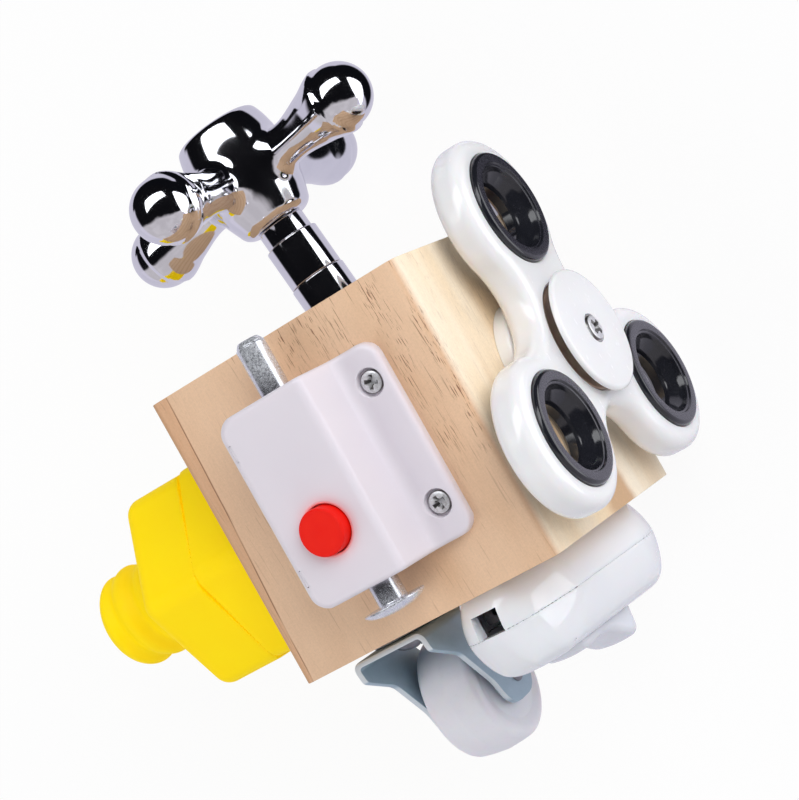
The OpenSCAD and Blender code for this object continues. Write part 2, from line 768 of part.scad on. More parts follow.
module hex_outline(inset = 0) {
    corner = hex_flats / 2 / cos(30) - inset / cos(30);
    r = max(hex_corner_r - inset, 0.2);
    polygon(rounded([for (k = [0:5]) [corner * cos(60 * k), corner * sin(60 * k), r]]));
}

module toy_bolt() {
    r = stud_d / 2;
    color("gold") on_toy_bolt() difference() {
        union() {
            rotate([0, 0, toy_head_turn]) soft_extrude(toy_head_t, 0.6, steps = 2) hex_outline($inset);
            rotate_extrude() polygon(concat(
                [[0, toy_head_t - 1], [r, toy_head_t - 1]],
                arc([r - stud_end_r, stud_length - stud_end_r], stud_end_r, 0, 90, 6),
                [[0, stud_length]]
            ));
        }
        translate([0, 0, -over]) cylinder(h = dowel_grip + over, d = dowel_d + 2 * screw_play);
    }
}

module toy_nut() {
    color("gold") on_toy_bolt() difference() {
        translate([0, 0, toy_head_t + 0.2]) soft_extrude(toy_nut_t, 3.2, steps = 5) hex_outline($inset);
        translate([0, 0, toy_head_t - over])
            cylinder(h = toy_nut_t + 2, d = stud_d + 2 * toy_nut_play);
    }
}

module toy_bolt_dowel() {
    color("gray") on_toy_bolt() translate([0, 0, -dowel_depth + screw_end_gap])
        cylinder(h = dowel_depth + dowel_grip - 2 * screw_end_gap, d = dowel_d);
}

// Caster on the bottom face

caster_screw_depth = 14;
caster_screw_head_d = 2 * caster_screw_d;
web_top = caster_washer_t + seat;
web_bottom = web_top + fork_sheet;
axle_z = caster_z - caster_trail;

// Along the swivel axis, down from the wood
module on_caster() { on_bottom() translate([caster_x, caster_z, 0]) children(); }

// Across the fork: local z runs along +X from the middle of the fork
module on_axle() {
    on_bottom() translate([caster_x, axle_z, axle_depth]) rotate([0, 90, 0]) children();
}

module caster_washer() {
    color("gray") on_caster() difference() {
        cylinder(h = caster_washer_t, d = fork_w - 2);
        translate([0, 0, -over])
            cylinder(h = caster_washer_t + 2 * over, d = caster_screw_d + 2 * screw_clearance);
    }
}

module caster_fork() {
    side = [
        [caster_z - web_back, web_top, 0], [caster_z + web_front, web_top, 0.4],
        [caster_z + web_front - 0.7, web_top + 4.3, 1.5], [caster_z + 1.6, web_top + 8, 5],
        [axle_z + 8.8, axle_depth - 0.6, 7], [axle_z + 6.6, axle_depth + 5.8, 5],
        [axle_z - 6, axle_depth + 5.2, 5], [axle_z - 5.4, axle_depth - 4.6, 4],
        [caster_z - web_back, web_top + 3.4, 1.5]
    ];
    w = fork_w / 2;
    bend_r = 2;
    color("slategray") on_bottom() difference() {
        intersection() {
            translate([caster_x - w, 0, 0]) rotate([90, 0, 90])
                linear_extrude(fork_w) polygon(rounded(side));
            translate([caster_x, block_side, 0]) rotate([90, 0, 0]) linear_extrude(block_side)
                polygon(rounded_box(-w, web_top, w, web_top + 2 * axle_depth, bend_r));
        }
        translate([caster_x, block_side + over, 0]) rotate([90, 0, 0])
            linear_extrude(block_side + 2 * over)
                polygon(rounded_box(-w + fork_sheet, web_bottom, w - fork_sheet,
                    web_top + 3 * axle_depth, bend_r - fork_sheet, 3));
        translate([caster_x, caster_z, 0])
            cylinder(h = web_bottom + over, d = caster_screw_d + 2 * screw_clearance);
        translate([caster_x - w - over, axle_z, axle_depth]) rotate([0, 90, 0])
            cylinder(h = fork_w + 2 * over, d = axle_d + 2 * screw_play);
    }
}

module caster_screw() {
    color("gray") on_caster() translate([0, 0, web_bottom + seat])
        pan_screw(caster_screw_head_d, caster_screw_head_d / 4, caster_screw_d,
            web_bottom + caster_screw_depth - screw_end_gap);
}

module caster_wheel() {
    r = wheel_d / 2;
    w = wheel_w / 2;
    bore = axle_d / 2 + axle_play;
    // One half of the wheel's section, from the bore round to the middle of the tread
    half_section = concat(
        [[bore, w], [bore + 2.4, w], [bore + 2.9, w - 0.5], [r * 0.7, w - 1.1], [r - 2.6, w - 0.9]],
        [for (k = [0:4]) [r - 2.4 + 1.5 * sin(18 * k), w - 2.4 + 1.5 * cos(18 * k)]],
        [[r - 0.35, w * 0.42], [r, 0]]
    );
    n = len(half_section);
    color("whitesmoke") on_axle() rotate_extrude() polygon(concat(
        half_section,
        [for (k = [1:n - 1]) [half_section[n - 1 - k][0], -half_section[n - 1 - k][1]]]
    ));
}

module caster_axle() {
    w = fork_w / 2;
    r = axle_d / 2;
    // Riveted head: its edge, and its crown
    edge = [r * 1.67, r * 0.2];
    crown = [r * 1.07, r * 0.6];
    top = r * 0.67;
    color("gray") on_axle() rotate_extrude() polygon([
        [0, -w - top], [crown[0], -w - crown[1]], [edge[0], -w - edge[1]], [edge[0], -w], [r, -w],
        [r, w], [edge[0], w], [edge[0], w + edge[1]], [crown[0], w + crown[1]], [0, w + top]
    ]);
}

// Rocker switch on the bottom face

switch_screw_d = 2.6;
switch_screw_head_d = switch_screw_d * 1.77;
switch_screw_depth = 9;
switch_screw_y = switch_l * 0.25;
pivot_depth = switch_h - 5;
pivot_pin_d = 2.4;
rocker_opening_w = rocker_w + 2 * rocker_play;
rocker_opening_l = rocker_l * cos(rocker_tilt) + 2 * (switch_h - pivot_depth) * sin(rocker_tilt)
    + 2 * rocker_play;
terminal_y = switch_l / 2 - 9.4;
// The shells' room starts this much further in than their wall, because their sides lean
shell_lean = 2.2;

module on_switch() {
    on_bottom() translate([switch_x, switch_z, 0]) rotate([0, 0, switch_yaw]) children();
}

module switch_screw_places() {
    for (y = [-switch_screw_y, switch_screw_y]) translate([0, y, 0]) children();
}

module switch_outline(inset) {
    w = switch_w / 2 - inset;
    l = switch_l / 2 - inset;
    cut = switch_corner * 0.8 - inset * 0.4;
    run = switch_corner - inset * 0.4;
    r = 3;
    polygon(rounded([
        [w, l - run, r], [w - cut, l, r], [cut - w, l, r], [-w, l - run, r],
        [-w, run - l, r], [cut - w, -l, r], [w - cut, -l, r], [w, run - l, r]
    ], 4));
}

module switch_base() {
    color("white") on_switch() difference() {
        hull() {
            linear_extrude(0.1) switch_outline(2.6);
            translate([0, 0, switch_split * 0.62]) linear_extrude(0.1) switch_outline(0.5);
            translate([0, 0, switch_split - 0.1]) linear_extrude(0.1) switch_outline(0);
        }
        translate([0, 0, switch_wall]) linear_extrude(switch_split)
            switch_outline(switch_wall + shell_lean);
        for (side = [-1, 1])
            translate([0, side * switch_l / 2, switch_split - window_h / 2 + over / 2])
                cube([window_w, 12, window_h + over], center = true);
        switch_screw_places() translate([0, 0, -over])
            cylinder(h = switch_wall + 2 * over, d = switch_screw_d + 2 * screw_clearance);
    }
}

module switch_cover() {
    ear_x = rocker_opening_w / 2 + 0.2;
    color("white") on_switch() difference() {
        union() {
            difference() {
                hull() {
                    translate([0, 0, switch_split + seat / 2]) linear_extrude(0.1) switch_outline(0);
                    translate([0, 0, switch_h * 0.72]) linear_extrude(0.1) switch_outline(1.2);
                    translate([0, 0, switch_h * 0.9]) linear_extrude(0.1) switch_outline(2.9);
                    translate([0, 0, switch_h - 0.1]) linear_extrude(0.1) switch_outline(4.6);
                }
                translate([0, 0, switch_split - over])
                    linear_extrude(switch_h - switch_wall - switch_split + over)
                        switch_outline(switch_wall + shell_lean);
            }
            for (side = [-1, 1]) translate([side * (ear_x + 0.8) - 0.8, -2.6, pivot_depth - 2.2])
                cube([1.6, 5.2, switch_h - pivot_depth + 1.6]);
        }
        linear_extrude(switch_h + 1)
            polygon(rounded_box(-rocker_opening_w / 2, -rocker_opening_l / 2,
                rocker_opening_w / 2, rocker_opening_l / 2, rocker_w * 0.42));
        translate([-switch_w / 2 + 2, 0, pivot_depth]) rotate([0, 90, 0])
            cylinder(h = switch_w - 4, d = pivot_pin_d + 2 * screw_play);
    }
}

module switch_rocker() {
    w = rocker_w / 2;
    l = rocker_l / 2;
    top = switch_h - pivot_depth;
    side = [
        [-l, top - 3, 0], [-4, -2.6, 1], [4, -2.6, 1], [l, top - 3, 0],
        [l, top + rocker_rise * 0.5, 1.4], [l * 0.66, top + rocker_rise, 6],
        [0, top + rocker_rise * 0.55, 12],
        [-l * 0.66, top + rocker_rise, 6], [-l, top + rocker_rise * 0.5, 1.4]
    ];
    color("white") on_switch() translate([0, 0, pivot_depth]) rotate([-rocker_tilt, 0, 0])
    difference() {
        intersection() {
            translate([-w, 0, 0]) rotate([90, 0, 90])
                linear_extrude(rocker_w) polygon(rounded(side));
            translate([0, 0, -top]) linear_extrude(3 * top)
                polygon(rounded_box(-w, -l, w, l, rocker_w * 0.4));
        }
        translate([-w - over, 0, 0]) rotate([0, 90, 0])
            cylinder(h = rocker_w + 2 * over, d = pivot_pin_d + 2 * pivot_play);
    }
}

module switch_rocker_pin() {
    length = rocker_opening_w + 3.4;
    color("silver") on_switch() translate([-length / 2, 0, pivot_depth]) rotate([0, 90, 0])
        cylinder(h = length, d = pivot_pin_d);
}

module switch_contacts() {
    strip_w = 2;
    strip_t = 0.6;
    strip_x = rocker_w * 0.4;
    color("goldenrod") on_switch() for (side = [0, 180]) rotate([0, 0, side])
        translate([strip_x, strip_w, switch_wall]) {
            cube([strip_w, terminal_y - strip_w, strip_t]);
            cube([strip_w, strip_t, pivot_depth - switch_wall - 5]);
        }
}

module switch_terminals() {
    terminal_w = 6.4;
    color("gray") on_switch() for (side = [0, 180]) rotate([0, 0, side])
        translate([0, terminal_y, 0]) difference() {
            translate([-terminal_w / 2, 0, switch_wall]) cube([terminal_w, 4, 4.8]);
            translate([0, -over, switch_wall + 2.6]) rotate([-90, 0, 0]) cylinder(h = 5, d = 2.4);
        }
}

module switch_screws() {
    color("lightgray") on_switch() switch_screw_places() translate([0, 0, switch_wall])
        pan_screw(switch_screw_head_d, switch_screw_head_d * 0.35, switch_screw_d,
            switch_wall + switch_screw_depth - screw_end_gap);
}

wood_block();
latch_case();
latch_back_plate();
latch_bolt();
latch_collar();
latch_bolt_spring();
latch_button();
latch_button_spring();
latch_screws();
spinner_body();
spinner_weight_1();
spinner_weight_2();
spinner_weight_3();
spinner_outer_race();
spinner_inner_race();
spinner_balls();
spinner_front_cap();
spinner_rear_cap();
spinner_screw();
tap_handle();
tap_plug();
tap_handle_screw();
tap_stem_top();
tap_stem_middle();
tap_stem_base();
tap_spindle();
toy_bolt();
toy_nut();
toy_bolt_dowel();
caster_washer();
caster_fork();
caster_screw();
caster_wheel();
caster_axle();
switch_base();
switch_cover();
switch_rocker();
switch_rocker_pin();
switch_contacts();
switch_terminals();
switch_screws();
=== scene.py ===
import math
import bmesh
import bpy
import numpy as np
from mathutils import Matrix, Vector


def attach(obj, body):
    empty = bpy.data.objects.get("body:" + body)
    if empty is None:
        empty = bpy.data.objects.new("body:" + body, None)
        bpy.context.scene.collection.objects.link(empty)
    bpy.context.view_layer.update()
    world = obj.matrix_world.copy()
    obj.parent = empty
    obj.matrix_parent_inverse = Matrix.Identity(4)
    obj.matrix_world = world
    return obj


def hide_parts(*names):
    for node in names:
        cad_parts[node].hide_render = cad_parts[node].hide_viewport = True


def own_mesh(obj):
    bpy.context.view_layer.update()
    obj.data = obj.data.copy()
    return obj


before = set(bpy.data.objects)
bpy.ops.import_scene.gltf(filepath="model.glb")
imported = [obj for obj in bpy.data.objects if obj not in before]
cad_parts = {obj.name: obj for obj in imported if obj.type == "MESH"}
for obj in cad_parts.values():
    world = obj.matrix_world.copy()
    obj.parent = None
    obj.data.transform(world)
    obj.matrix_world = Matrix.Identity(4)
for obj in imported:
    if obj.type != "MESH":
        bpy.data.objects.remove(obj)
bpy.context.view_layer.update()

# Camera
# A long lens looks down on the latch and past the right face at the spinner, so
# that the cube's upper face points up the picture.


def new_object(name, data):
    """An object at the origin of the scene."""
    made = bpy.data.objects.new(name, data)
    bpy.context.collection.objects.link(made)
    return made


IMAGE_LONG_SIDE, FOCAL_PIXELS, SENSOR = 800, 2491.06, 36.0
eye = Vector((0.2279971, -0.0022713, 0.4532524))
to_right = Vector((0.7627924, -0.4909157, -0.4208913))
to_down = Vector((-0.4419811, -0.8709249, 0.2148081))
lens = bpy.data.cameras.new("camera")
lens.sensor_width, lens.lens = SENSOR, FOCAL_PIXELS * SENSOR / IMAGE_LONG_SIDE
lens.clip_start, lens.clip_end = 0.01, 20
camera = new_object("camera", lens)
turn = Matrix((to_right, -to_down, to_right.cross(-to_down))).transposed()
camera.matrix_world = Matrix.Translation(eye) @ turn.to_4x4()
bpy.context.scene.camera = camera

# Pine cube
# A sawn and sanded block of pine. Its four long edges, which run with the grain
# along Y, are rounded, and its end grain shows on the upper and lower face.


def feed(node, inputs):
    """Gives the sockets of a node their values, or links from sockets, wires and nodes."""
    for key, value in inputs.items():
        socket = node.inputs[key.replace("_", " ") if isinstance(key, str) else key]
        source = getattr(value, "socket", value)
        if isinstance(source, bpy.types.Node):
            source = source.outputs[0]
        if isinstance(source, bpy.types.NodeSocket):
            node.id_data.links.new(source, socket)
        else:
            socket.default_value = source
    return node


def node_of(tree, kind, inputs, **settings):
    node = tree.nodes.new(kind)
    for key, value in settings.items():
        setattr(node, key, value)
    return feed(node, inputs)


class Wire:
    """A shader socket that takes part in Python expressions."""

    def __init__(self, tree, socket):
        self.tree, self.socket = tree, socket

    def calc(self, operation, *values):
        node = node_of(self.tree, "ShaderNodeMath", dict(enumerate(values)), operation=operation)
        return Wire(self.tree, node.outputs[0])

    def rise(self, low, high):
        """Smooth step from 0 at low to 1 at high; high may be the smaller one."""
        (a, start), (b, stop) = sorted([(low, 0.0), (high, 1.0)])
        node = node_of(self.tree, "ShaderNodeMapRange", {
            "Value": self, "From Min": a, "To Min": start, "From Max": b, "To Max": stop},
            interpolation_type="SMOOTHSTEP")
        return Wire(self.tree, node.outputs["Result"])

    def __neg__(self):
        return self * -1.0


# The operators with the wire on their left and on their right, then the functions
for word, sign in (("add", "ADD"), ("sub", "SUBTRACT"), ("mul", "MULTIPLY"), ("truediv", "DIVIDE")):
    setattr(Wire, "__%s__" % word, lambda a, b, sign=sign: a.calc(sign, a, b))
    setattr(Wire, "__r%s__" % word, lambda a, b, sign=sign: a.calc(sign, b, a))
for word, sign in (("__pow__", "POWER"), ("__abs__", "ABSOLUTE"), ("sine", "SINE"),
                   ("root", "SQRT"), ("most", "MAXIMUM"), ("least", "MINIMUM")):
    setattr(Wire, word, lambda a, *b, sign=sign: a.calc(sign, a, *b))


class Finish:
    """A material under construction: constants go on the shader's own sockets."""

    def __init__(self, name, **constants):
        self.material = bpy.data.materials.new(name)
        self.material.use_nodes = True
        self.tree = self.material.node_tree
        self.shader = feed(self.tree.nodes["Principled BSDF"], constants)
        place = self.tree.nodes.new("ShaderNodeTexCoord").outputs
        self.place = self.stretch(place["Object"], (1000, 1000, 1000))
        self.x, self.y, self.z = self.parts(self.place)
        self.normal = place["Normal"]

    def add(self, kind, inputs, output=0, **settings):
        return Wire(self.tree, node_of(self.tree, kind, inputs, **settings).outputs[output])

    def stretch(self, vector, factors):
        return self.add("ShaderNodeVectorMath", {0: vector, 1: factors}, operation="MULTIPLY")

    def parts(self, vector):
        node = node_of(self.tree, "ShaderNodeSeparateXYZ", {0: vector})
        return [Wire(self.tree, out) for out in node.outputs]

    def noise(self, size, detail=2.0, rough=0.5, vector=None):
        """Noise from 0 to 1 whose blotches are about this many millimetres wide."""
        return self.add("ShaderNodeTexNoise", {"Vector": vector or self.place, "Scale": 1.0 / size,
                                               "Detail": detail, "Roughness": rough})

    def streaks(self, size, factors, detail=2.0, rough=0.5):
        """Noise drawn out along the axis whose factor is the smallest."""
        return self.noise(size, detail, rough, self.stretch(self.place, factors))

    def mix(self, amount, first, second):
        """From one colour to another."""
        return self.add("ShaderNodeMix", {0: amount, 6: tint(first), 7: tint(second)}, 2,
                        data_type="RGBA")

    def shade(self, colour, amount):
        """A colour made darker or lighter by a factor that varies."""
        return self.add("ShaderNodeVectorMath", {0: colour, "Scale": amount}, operation="SCALE")

    def wear(self, fine=9.0):
        """Small scuffs and handling marks, 0 to 1."""
        return self.noise(4 / fine, 6.0, 0.7).rise(0.56, 0.8)

    def done(self, **inputs):
        feed(self.shader, inputs)
        return self.material

    def skin(self, colour, rough, height, strength, distance, **inputs):
        """Colour, roughness and relief of the surface; gives the material."""
        bump = self.add("ShaderNodeBump", {
            "Height": height, "Strength": strength, "Distance": distance})
        return self.done(Base_Color=colour, Roughness=rough, Normal=bump, **inputs)


def tint(colour):
    """A colour given as three sRGB values from 0 to 255, or a wire left as it is."""
    if isinstance(colour, Wire):
        return colour
    linear = [(c / 255 / 12.92) if c < 11 else ((c / 255 + 0.055) / 1.055) ** 2.4 for c in colour]
    return (*linear, 1.0)


def pine():
    f = Finish("pine", Specular_IOR_Level=0.35)
    nx, ny, nz = f.parts(f.normal)
    # The grain leans a little off the edges and wanders
    lean = f.streaks(30, (1, 0.4, 1), 1.0) - 0.5
    across_x = f.x + f.y * 0.045 + lean * 5.0
    across_z = f.z + f.y * 0.02 + lean * 4.0

    def grain(along):
        """A place for noise drawn out along the grain."""
        return f.add("ShaderNodeCombineXYZ", {"X": across_x, "Y": f.y * along, "Z": across_z})

    # Growth rings round a heart that lies outside the block, below its right side
    ring = ((across_x + 14) ** 2.0 + (across_z + 9) ** 2.0).root()
    ring = ring + (f.streaks(7, (1, 0.06, 1)) - 0.5) * 1.6
    wave = ((ring * (2 * math.pi / 6.4)).sine() * 0.5 + 0.5) ** 3.0
    late = wave * f.noise(18).rise(0.25, 0.75)
    # Resin canals and pores: dark dashes with the grain, thick at the top and right
    dashes = f.noise(0.18, 1.0, 0.5, grain(0.06)).rise(0.6, 0.67)
    crowd = (f.x * 0.55 + f.y * 0.6 + (f.noise(9, 1.0) - 0.5) * 22).rise(7, 19)
    clusters = f.streaks(5, (1, 0.22, 1), 1.0).rise(0.44, 0.6) * (0.04 + crowd * 0.96)
    long_dashes = f.noise(0.36, 1.0, 0.5, grain(0.03)).rise(0.67, 0.75)
    pores = (dashes * clusters).most(long_dashes * (0.25 + crowd * 0.45))
    fibre = f.noise(0.2, 3.0, 0.6, grain(0.05))
    speckle = f.noise(0.42, 3.0, 0.7)
    # The boards that make the block differ: cream on the right, tan in front
    right, left = nx.rise(0.55, 0.95), (-nx).rise(0.55, 0.95)
    corner = abs(nx).least(abs(nz)).rise(0.12, 0.5) * (
        0.3 + left * 0.7 + (-nx).rise(0.1, 0.4) * 0.4)
    front = f.mix(f.streaks(9, (1, 0.35, 1), 3.0, 0.55), (222, 183, 148), (236, 201, 168))
    side = f.mix(f.streaks(13, (1, 0.12, 1)).rise(0.35, 0.65), (253, 239, 217), (246, 222, 187))
    board = f.mix(right.most(left), front, side)
    # A brown heart stripe runs down the right board behind the spinner, deepened by painted shadow
    # of the spinner
    stripe_and_shadow = (-abs(across_z - 22.5 - f.noise(8) * 5)).rise(-7.0, -3.0) * right
    board = f.mix(stripe_and_shadow * 0.8, board, (196, 152, 108))
    board = f.mix(late * (0.3 - right * 0.15), board, (206, 158, 112))
    # An orange band of late wood follows the left edge, behind one dark line
    band_edge = f.x + 27.9 - (f.y + 30) * 0.036 + (f.streaks(6, (1, 0.2, 1)) - 0.5) * 1.2
    band = band_edge.rise(0.35, -0.1) * nz.rise(0.1, 0.6)
    board = f.mix(band * 0.6, board, (212, 162, 122))
    board = f.mix(band * fibre.rise(0.45, 0.75) * 0.3, board, (186, 132, 94))
    seam = abs(band_edge).rise(0.2, 0.06) * f.streaks(2.5, (1, 0.1, 1)).rise(0.42, 0.56)
    pores = pores.most(seam * nz.rise(0.6, 0.9) * 0.8)
    board = f.mix(corner * 0.7, board, (205, 156, 112))
    # End grain: rings in full, darker, with open pores
    end = abs(ny).rise(0.5, 0.9)
    ends = f.mix(wave * 0.4, (222, 186, 148), (186, 136, 94))
    ends = f.mix(f.noise(0.35, 2.0, 0.6).rise(0.55, 0.8) * 0.45, ends, (150, 104, 68))
    board = f.mix(end, board, ends)
    board = f.mix(pores * (1 - end) * (1 - right * 0.75) * 0.85, board, (126, 76, 52))
    board = f.shade(board, 0.81 + fibre * 0.15 + speckle * 0.24)
    relief = fibre * 0.5 + speckle * 0.5 - pores * 1.2 - late * 0.25
    return f.skin(board, 0.55 + fibre * 0.2, relief, 0.35, 0.00012)


def mend(mesh, merge=False):
    """Turns the faces outward, once doubles and flat faces are merged if asked."""
    work = bmesh.new()
    work.from_mesh(mesh)
    if merge:
        bmesh.ops.remove_doubles(work, verts=work.verts, dist=2e-6)
        bmesh.ops.dissolve_limit(work, angle_limit=math.radians(0.5), verts=work.verts,
                                 edges=work.edges)
    bmesh.ops.recalc_face_normals(work, faces=work.faces)
    work.to_mesh(mesh)
    work.free()


def bake(made):
    """Turns the object with its modifiers into a plain mesh."""
    graph = bpy.context.evaluated_depsgraph_get()
    old = made.data
    made.data = bpy.data.meshes.new_from_object(made.evaluated_get(graph))
    made.data.name = made.name
    made.modifiers.clear()
    bpy.data.meshes.remove(old)
    return made


def changed(made, kind, **settings):
    """The object as one modifier leaves it."""
    modifier = made.modifiers.new("change", kind)
    for key, value in settings.items():
        setattr(modifier, key, value)
    return bake(made)


def bevel(made, width, angle=40, segments=2):
    """Breaks the sharp edges, as tumbling, sanding or a mould's radius does."""
    return changed(made, "BEVEL", width=width * 0.001, segments=segments, limit_method="ANGLE",
                   angle_limit=math.radians(angle), use_clamp_overlap=True)


def cad_copy(node, name, *edge):
    """The CAD node's mesh in one piece, with its edges broken."""
    source = bpy.data.objects[node]
    mesh = source.data.copy()
    mesh.transform(source.matrix_world)
    mesh.materials.clear()
    mend(mesh, merge=True)
    return bevel(new_object(name, mesh), *edge)


def finish(made, material, node, body="block", angle=38):
    """Smooth shading with crisp edges, material, body and the CAD node it stands for."""
    mesh = made.data
    mesh.materials.clear()
    mesh.materials.append(material)
    mesh.polygons.foreach_set("material_index", [0] * len(mesh.polygons))
    mesh.shade_smooth()
    mesh.set_sharp_from_angle(angle=math.radians(angle))
    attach(made, body)
    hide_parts(node)
    return made


def from_cad(node, name, material, slot, *edge, body="block"):
    """A finished piece with the shape of its CAD node."""
    finish(cad_copy(node, name, *edge), material, node, body)


from_cad("wood_block", "pine_cube", pine(), "pine", 0.35)

# Latch case
# A moulded nylon shell: straight on the left, leaning on the right, where a hollow
# fillet runs out into a screw flange. It is hollow for the bolt, spring and button.


def round_most(a, b, r):
    """Both solids at once, their common edge rounded with radius r."""
    return np.minimum(-r, np.maximum(a, b)) + np.hypot(np.maximum(r + a, 0), np.maximum(r + b, 0))


def round_least(a, b, r):
    """Either solid, with a fillet of radius r where they meet."""
    return -round_most(-a, -b, r)


def rounded_plan(x, y, x0, y0, x1, y1, r):
    """Distance to a rectangle with round corners."""
    dx = np.abs(x - (x0 + x1) / 2) - (x1 - x0) / 2 + r
    dy = np.abs(y - (y0 + y1) / 2) - (y1 - y0) / 2 + r
    return np.hypot(np.maximum(dx, 0), np.maximum(dy, 0)) + np.minimum(np.maximum(dx, dy), 0) - r


def ease(t):
    t = np.clip(t, 0, 1)
    return t * t * (3 - 2 * t)


def object_from(name, verts, faces, place=Matrix.Identity(4)):
    """An object at the origin from points in millimetres, put in place by a matrix."""
    mesh = bpy.data.meshes.new(name)
    mesh.from_pydata([tuple(v) for v in verts], [], [tuple(int(i) for i in f) for f in faces])
    mesh.transform(Matrix.Scale(0.001, 4) @ place)
    mesh.validate()
    return new_object(name, mesh)


def skin(name, shape, low, high, step, place, relax=2):
    """A mesh of quads on the zero surface of a distance function of x, y, z in mm."""
    step = step * 1.0
    low = np.array(low, float) - 1.5 * step
    counts = np.ceil((np.array(high) + 1.5 * step - low) / step).astype(int) + 1
    axes = [low[k] + step * np.arange(counts[k]) for k in range(3)]
    inside = shape(*np.meshgrid(*axes, indexing="ij", sparse=True)) < 0
    inside = np.broadcast_to(inside, counts)
    cells = tuple(counts - 1)
    corners = sum(inside[i:i + cells[0], j:j + cells[1], k:k + cells[2]].astype(np.int8)
                  for i in (0, 1) for j in (0, 1) for k in (0, 1))
    # One point in each cell that the surface crosses
    found = np.argwhere((corners > 0) & (corners < 8))
    number = np.full(cells, -1, np.int64)
    number[tuple(found.T)] = np.arange(len(found))
    faces = []
    for axis in range(3):
        u, v = (axis + 1) % 3, (axis + 2) % 3
        first, second = [slice(1, -1)] * 3, [slice(1, -1)] * 3
        first[axis], second[axis] = slice(0, -1), slice(1, None)
        a, b = inside[tuple(first)], inside[tuple(second)]
        for order, crossing in ((1, a & ~b), (-1, b & ~a)):
            at = np.argwhere(crossing)
            base = at + 1
            base[:, axis] = at[:, axis]
            quad = []
            for du, dv in ((-1, -1), (0, -1), (0, 0), (-1, 0)):
                cell = base.copy()
                cell[:, u] += du
                cell[:, v] += dv
                quad.append(number[tuple(cell.T)])
            faces.append(np.stack(quad, axis=1)[:, ::order])
    faces = np.concatenate(faces)
    middle = low + (found + 0.5) * step
    h = step * 0.02

    def walk(points, rounds, reach):
        """Moves the points onto the surface, each in or near its own cell."""
        for _ in range(rounds):
            value = shape(*points.T)
            slope = np.stack([(shape(*(points + d).T) - shape(*(points - d).T)) / (2 * h)
                              for d in np.eye(3) * h], axis=1)
            move = value[:, None] * slope / np.maximum((slope ** 2).sum(1), 0.04)[:, None]
            points = points - np.clip(move, -step, step)
            points = np.clip(points, middle - reach * step, middle + reach * step)
        return points

    points = walk(middle, 5, 0.5)
    ends = np.concatenate([faces[:, [i, (i + 1) % 4]] for i in range(4)])
    for _ in range(relax):
        total, share = np.zeros_like(points), np.zeros(len(points))
        for one, other in ((0, 1), (1, 0)):
            np.add.at(total, ends[:, one], points[ends[:, other]])
            np.add.at(share, ends[:, one], 1)
        points = walk(0.4 * points + 0.6 * total / np.maximum(share, 1)[:, None], 2, 0.75)
    return object_from(name, points, faces, place)


def box(x0, y0, z0, x1, y1, z1):
    """Points and faces of a box, for cutting."""
    verts = [(x, y, z) for x in (x0, x1) for y in (y0, y1) for z in (z0, z1)]
    return verts, [(0, 1, 3, 2), (4, 6, 7, 5), (0, 4, 5, 1), (2, 3, 7, 6), (0, 2, 6, 4),
                   (1, 5, 7, 3)]


def on_arc(r, degrees, x=0.0, y=0.0):
    """A point of the circle with radius r round x, y."""
    a = math.radians(degrees)
    return x + r * math.cos(a), y + r * math.sin(a)


def soften(points, steps=6):
    """Rounds the corners of an outline of (r, z) or (r, z, fillet) points."""
    out, n = [], len(points)
    closed = points[0][0] > 0
    for i, point in enumerate(points):
        r = point[2] if len(point) > 2 else 0
        b = np.array(point[:2], float)
        if r <= 0 or (not closed and i in (0, n - 1)):
            out.append(tuple(b))
            continue
        u, v = (np.array(points[k][:2], float) - b for k in (i - 1, (i + 1) % n))
        u, v = u / np.linalg.norm(u), v / np.linalg.norm(v)
        half = math.acos(max(-1, min(1, float(u @ v)))) / 2
        reach = r / math.tan(half)
        centre = b + (u + v) / np.linalg.norm(u + v) * r / math.sin(half)
        a0, a1 = (math.degrees(math.atan2(*(b + way * reach - centre)[::-1])) for way in (u, v))
        sweep = (a1 - a0 + 180) % 360 - 180
        out += [on_arc(r, a0 + sweep * k / steps, *centre) for k in range(steps + 1)]
    return out


def lathe(profile, steps=72):
    """Points and faces of a turned solid; the profile runs anticlockwise in (r, z)."""
    verts, rows = [], []
    for r, z in profile:
        if r <= 1e-6:
            rows.append([len(verts)] * steps)
            verts.append((0, 0, z))
        else:
            rows.append(list(range(len(verts), len(verts) + steps)))
            verts += [(*on_arc(r, 360 * k / steps), z) for k in range(steps)]
    faces = []
    for low, high in zip(rows, rows[1:] + (rows[:1] if profile[0][0] > 0 else [])):
        for k in range(steps):
            m = (k + 1) % steps
            face = [low[k], low[m], high[m], high[k]]
            face = [v for i, v in enumerate(face) if v != face[i - 1]]
            if len(face) > 2:
                faces.append(face)
    return verts, faces


def rod(r, low, high, steps):
    """A plain cylinder, for cutting."""
    return lathe([(0, low), (r, low), (r, high), (0, high)], steps)


def moved(solid, place):
    verts, faces = solid
    return [tuple(place @ Vector(v)) for v in verts], faces


def cut(made, place, *solids, operation="DIFFERENCE"):
    """Takes solids, in millimetres in the frame of place, out of an object, or joins them."""
    verts, faces = [], []
    for points, sides in solids:
        faces += [tuple(i + len(verts) for i in side) for side in sides]
        verts += list(points)
    tool = object_from("tool", verts, faces, place)
    mend(tool.data)
    changed(made, "BOOLEAN", operation=operation, solver="EXACT", use_self=len(solids) > 1,
            object=tool)
    bpy.data.objects.remove(tool)
    return made


def shift(x=0, y=0, z=0):
    return Matrix.Translation((x, y, z))


def spin(degrees, axis):
    return Matrix.Rotation(math.radians(degrees), 4, axis)


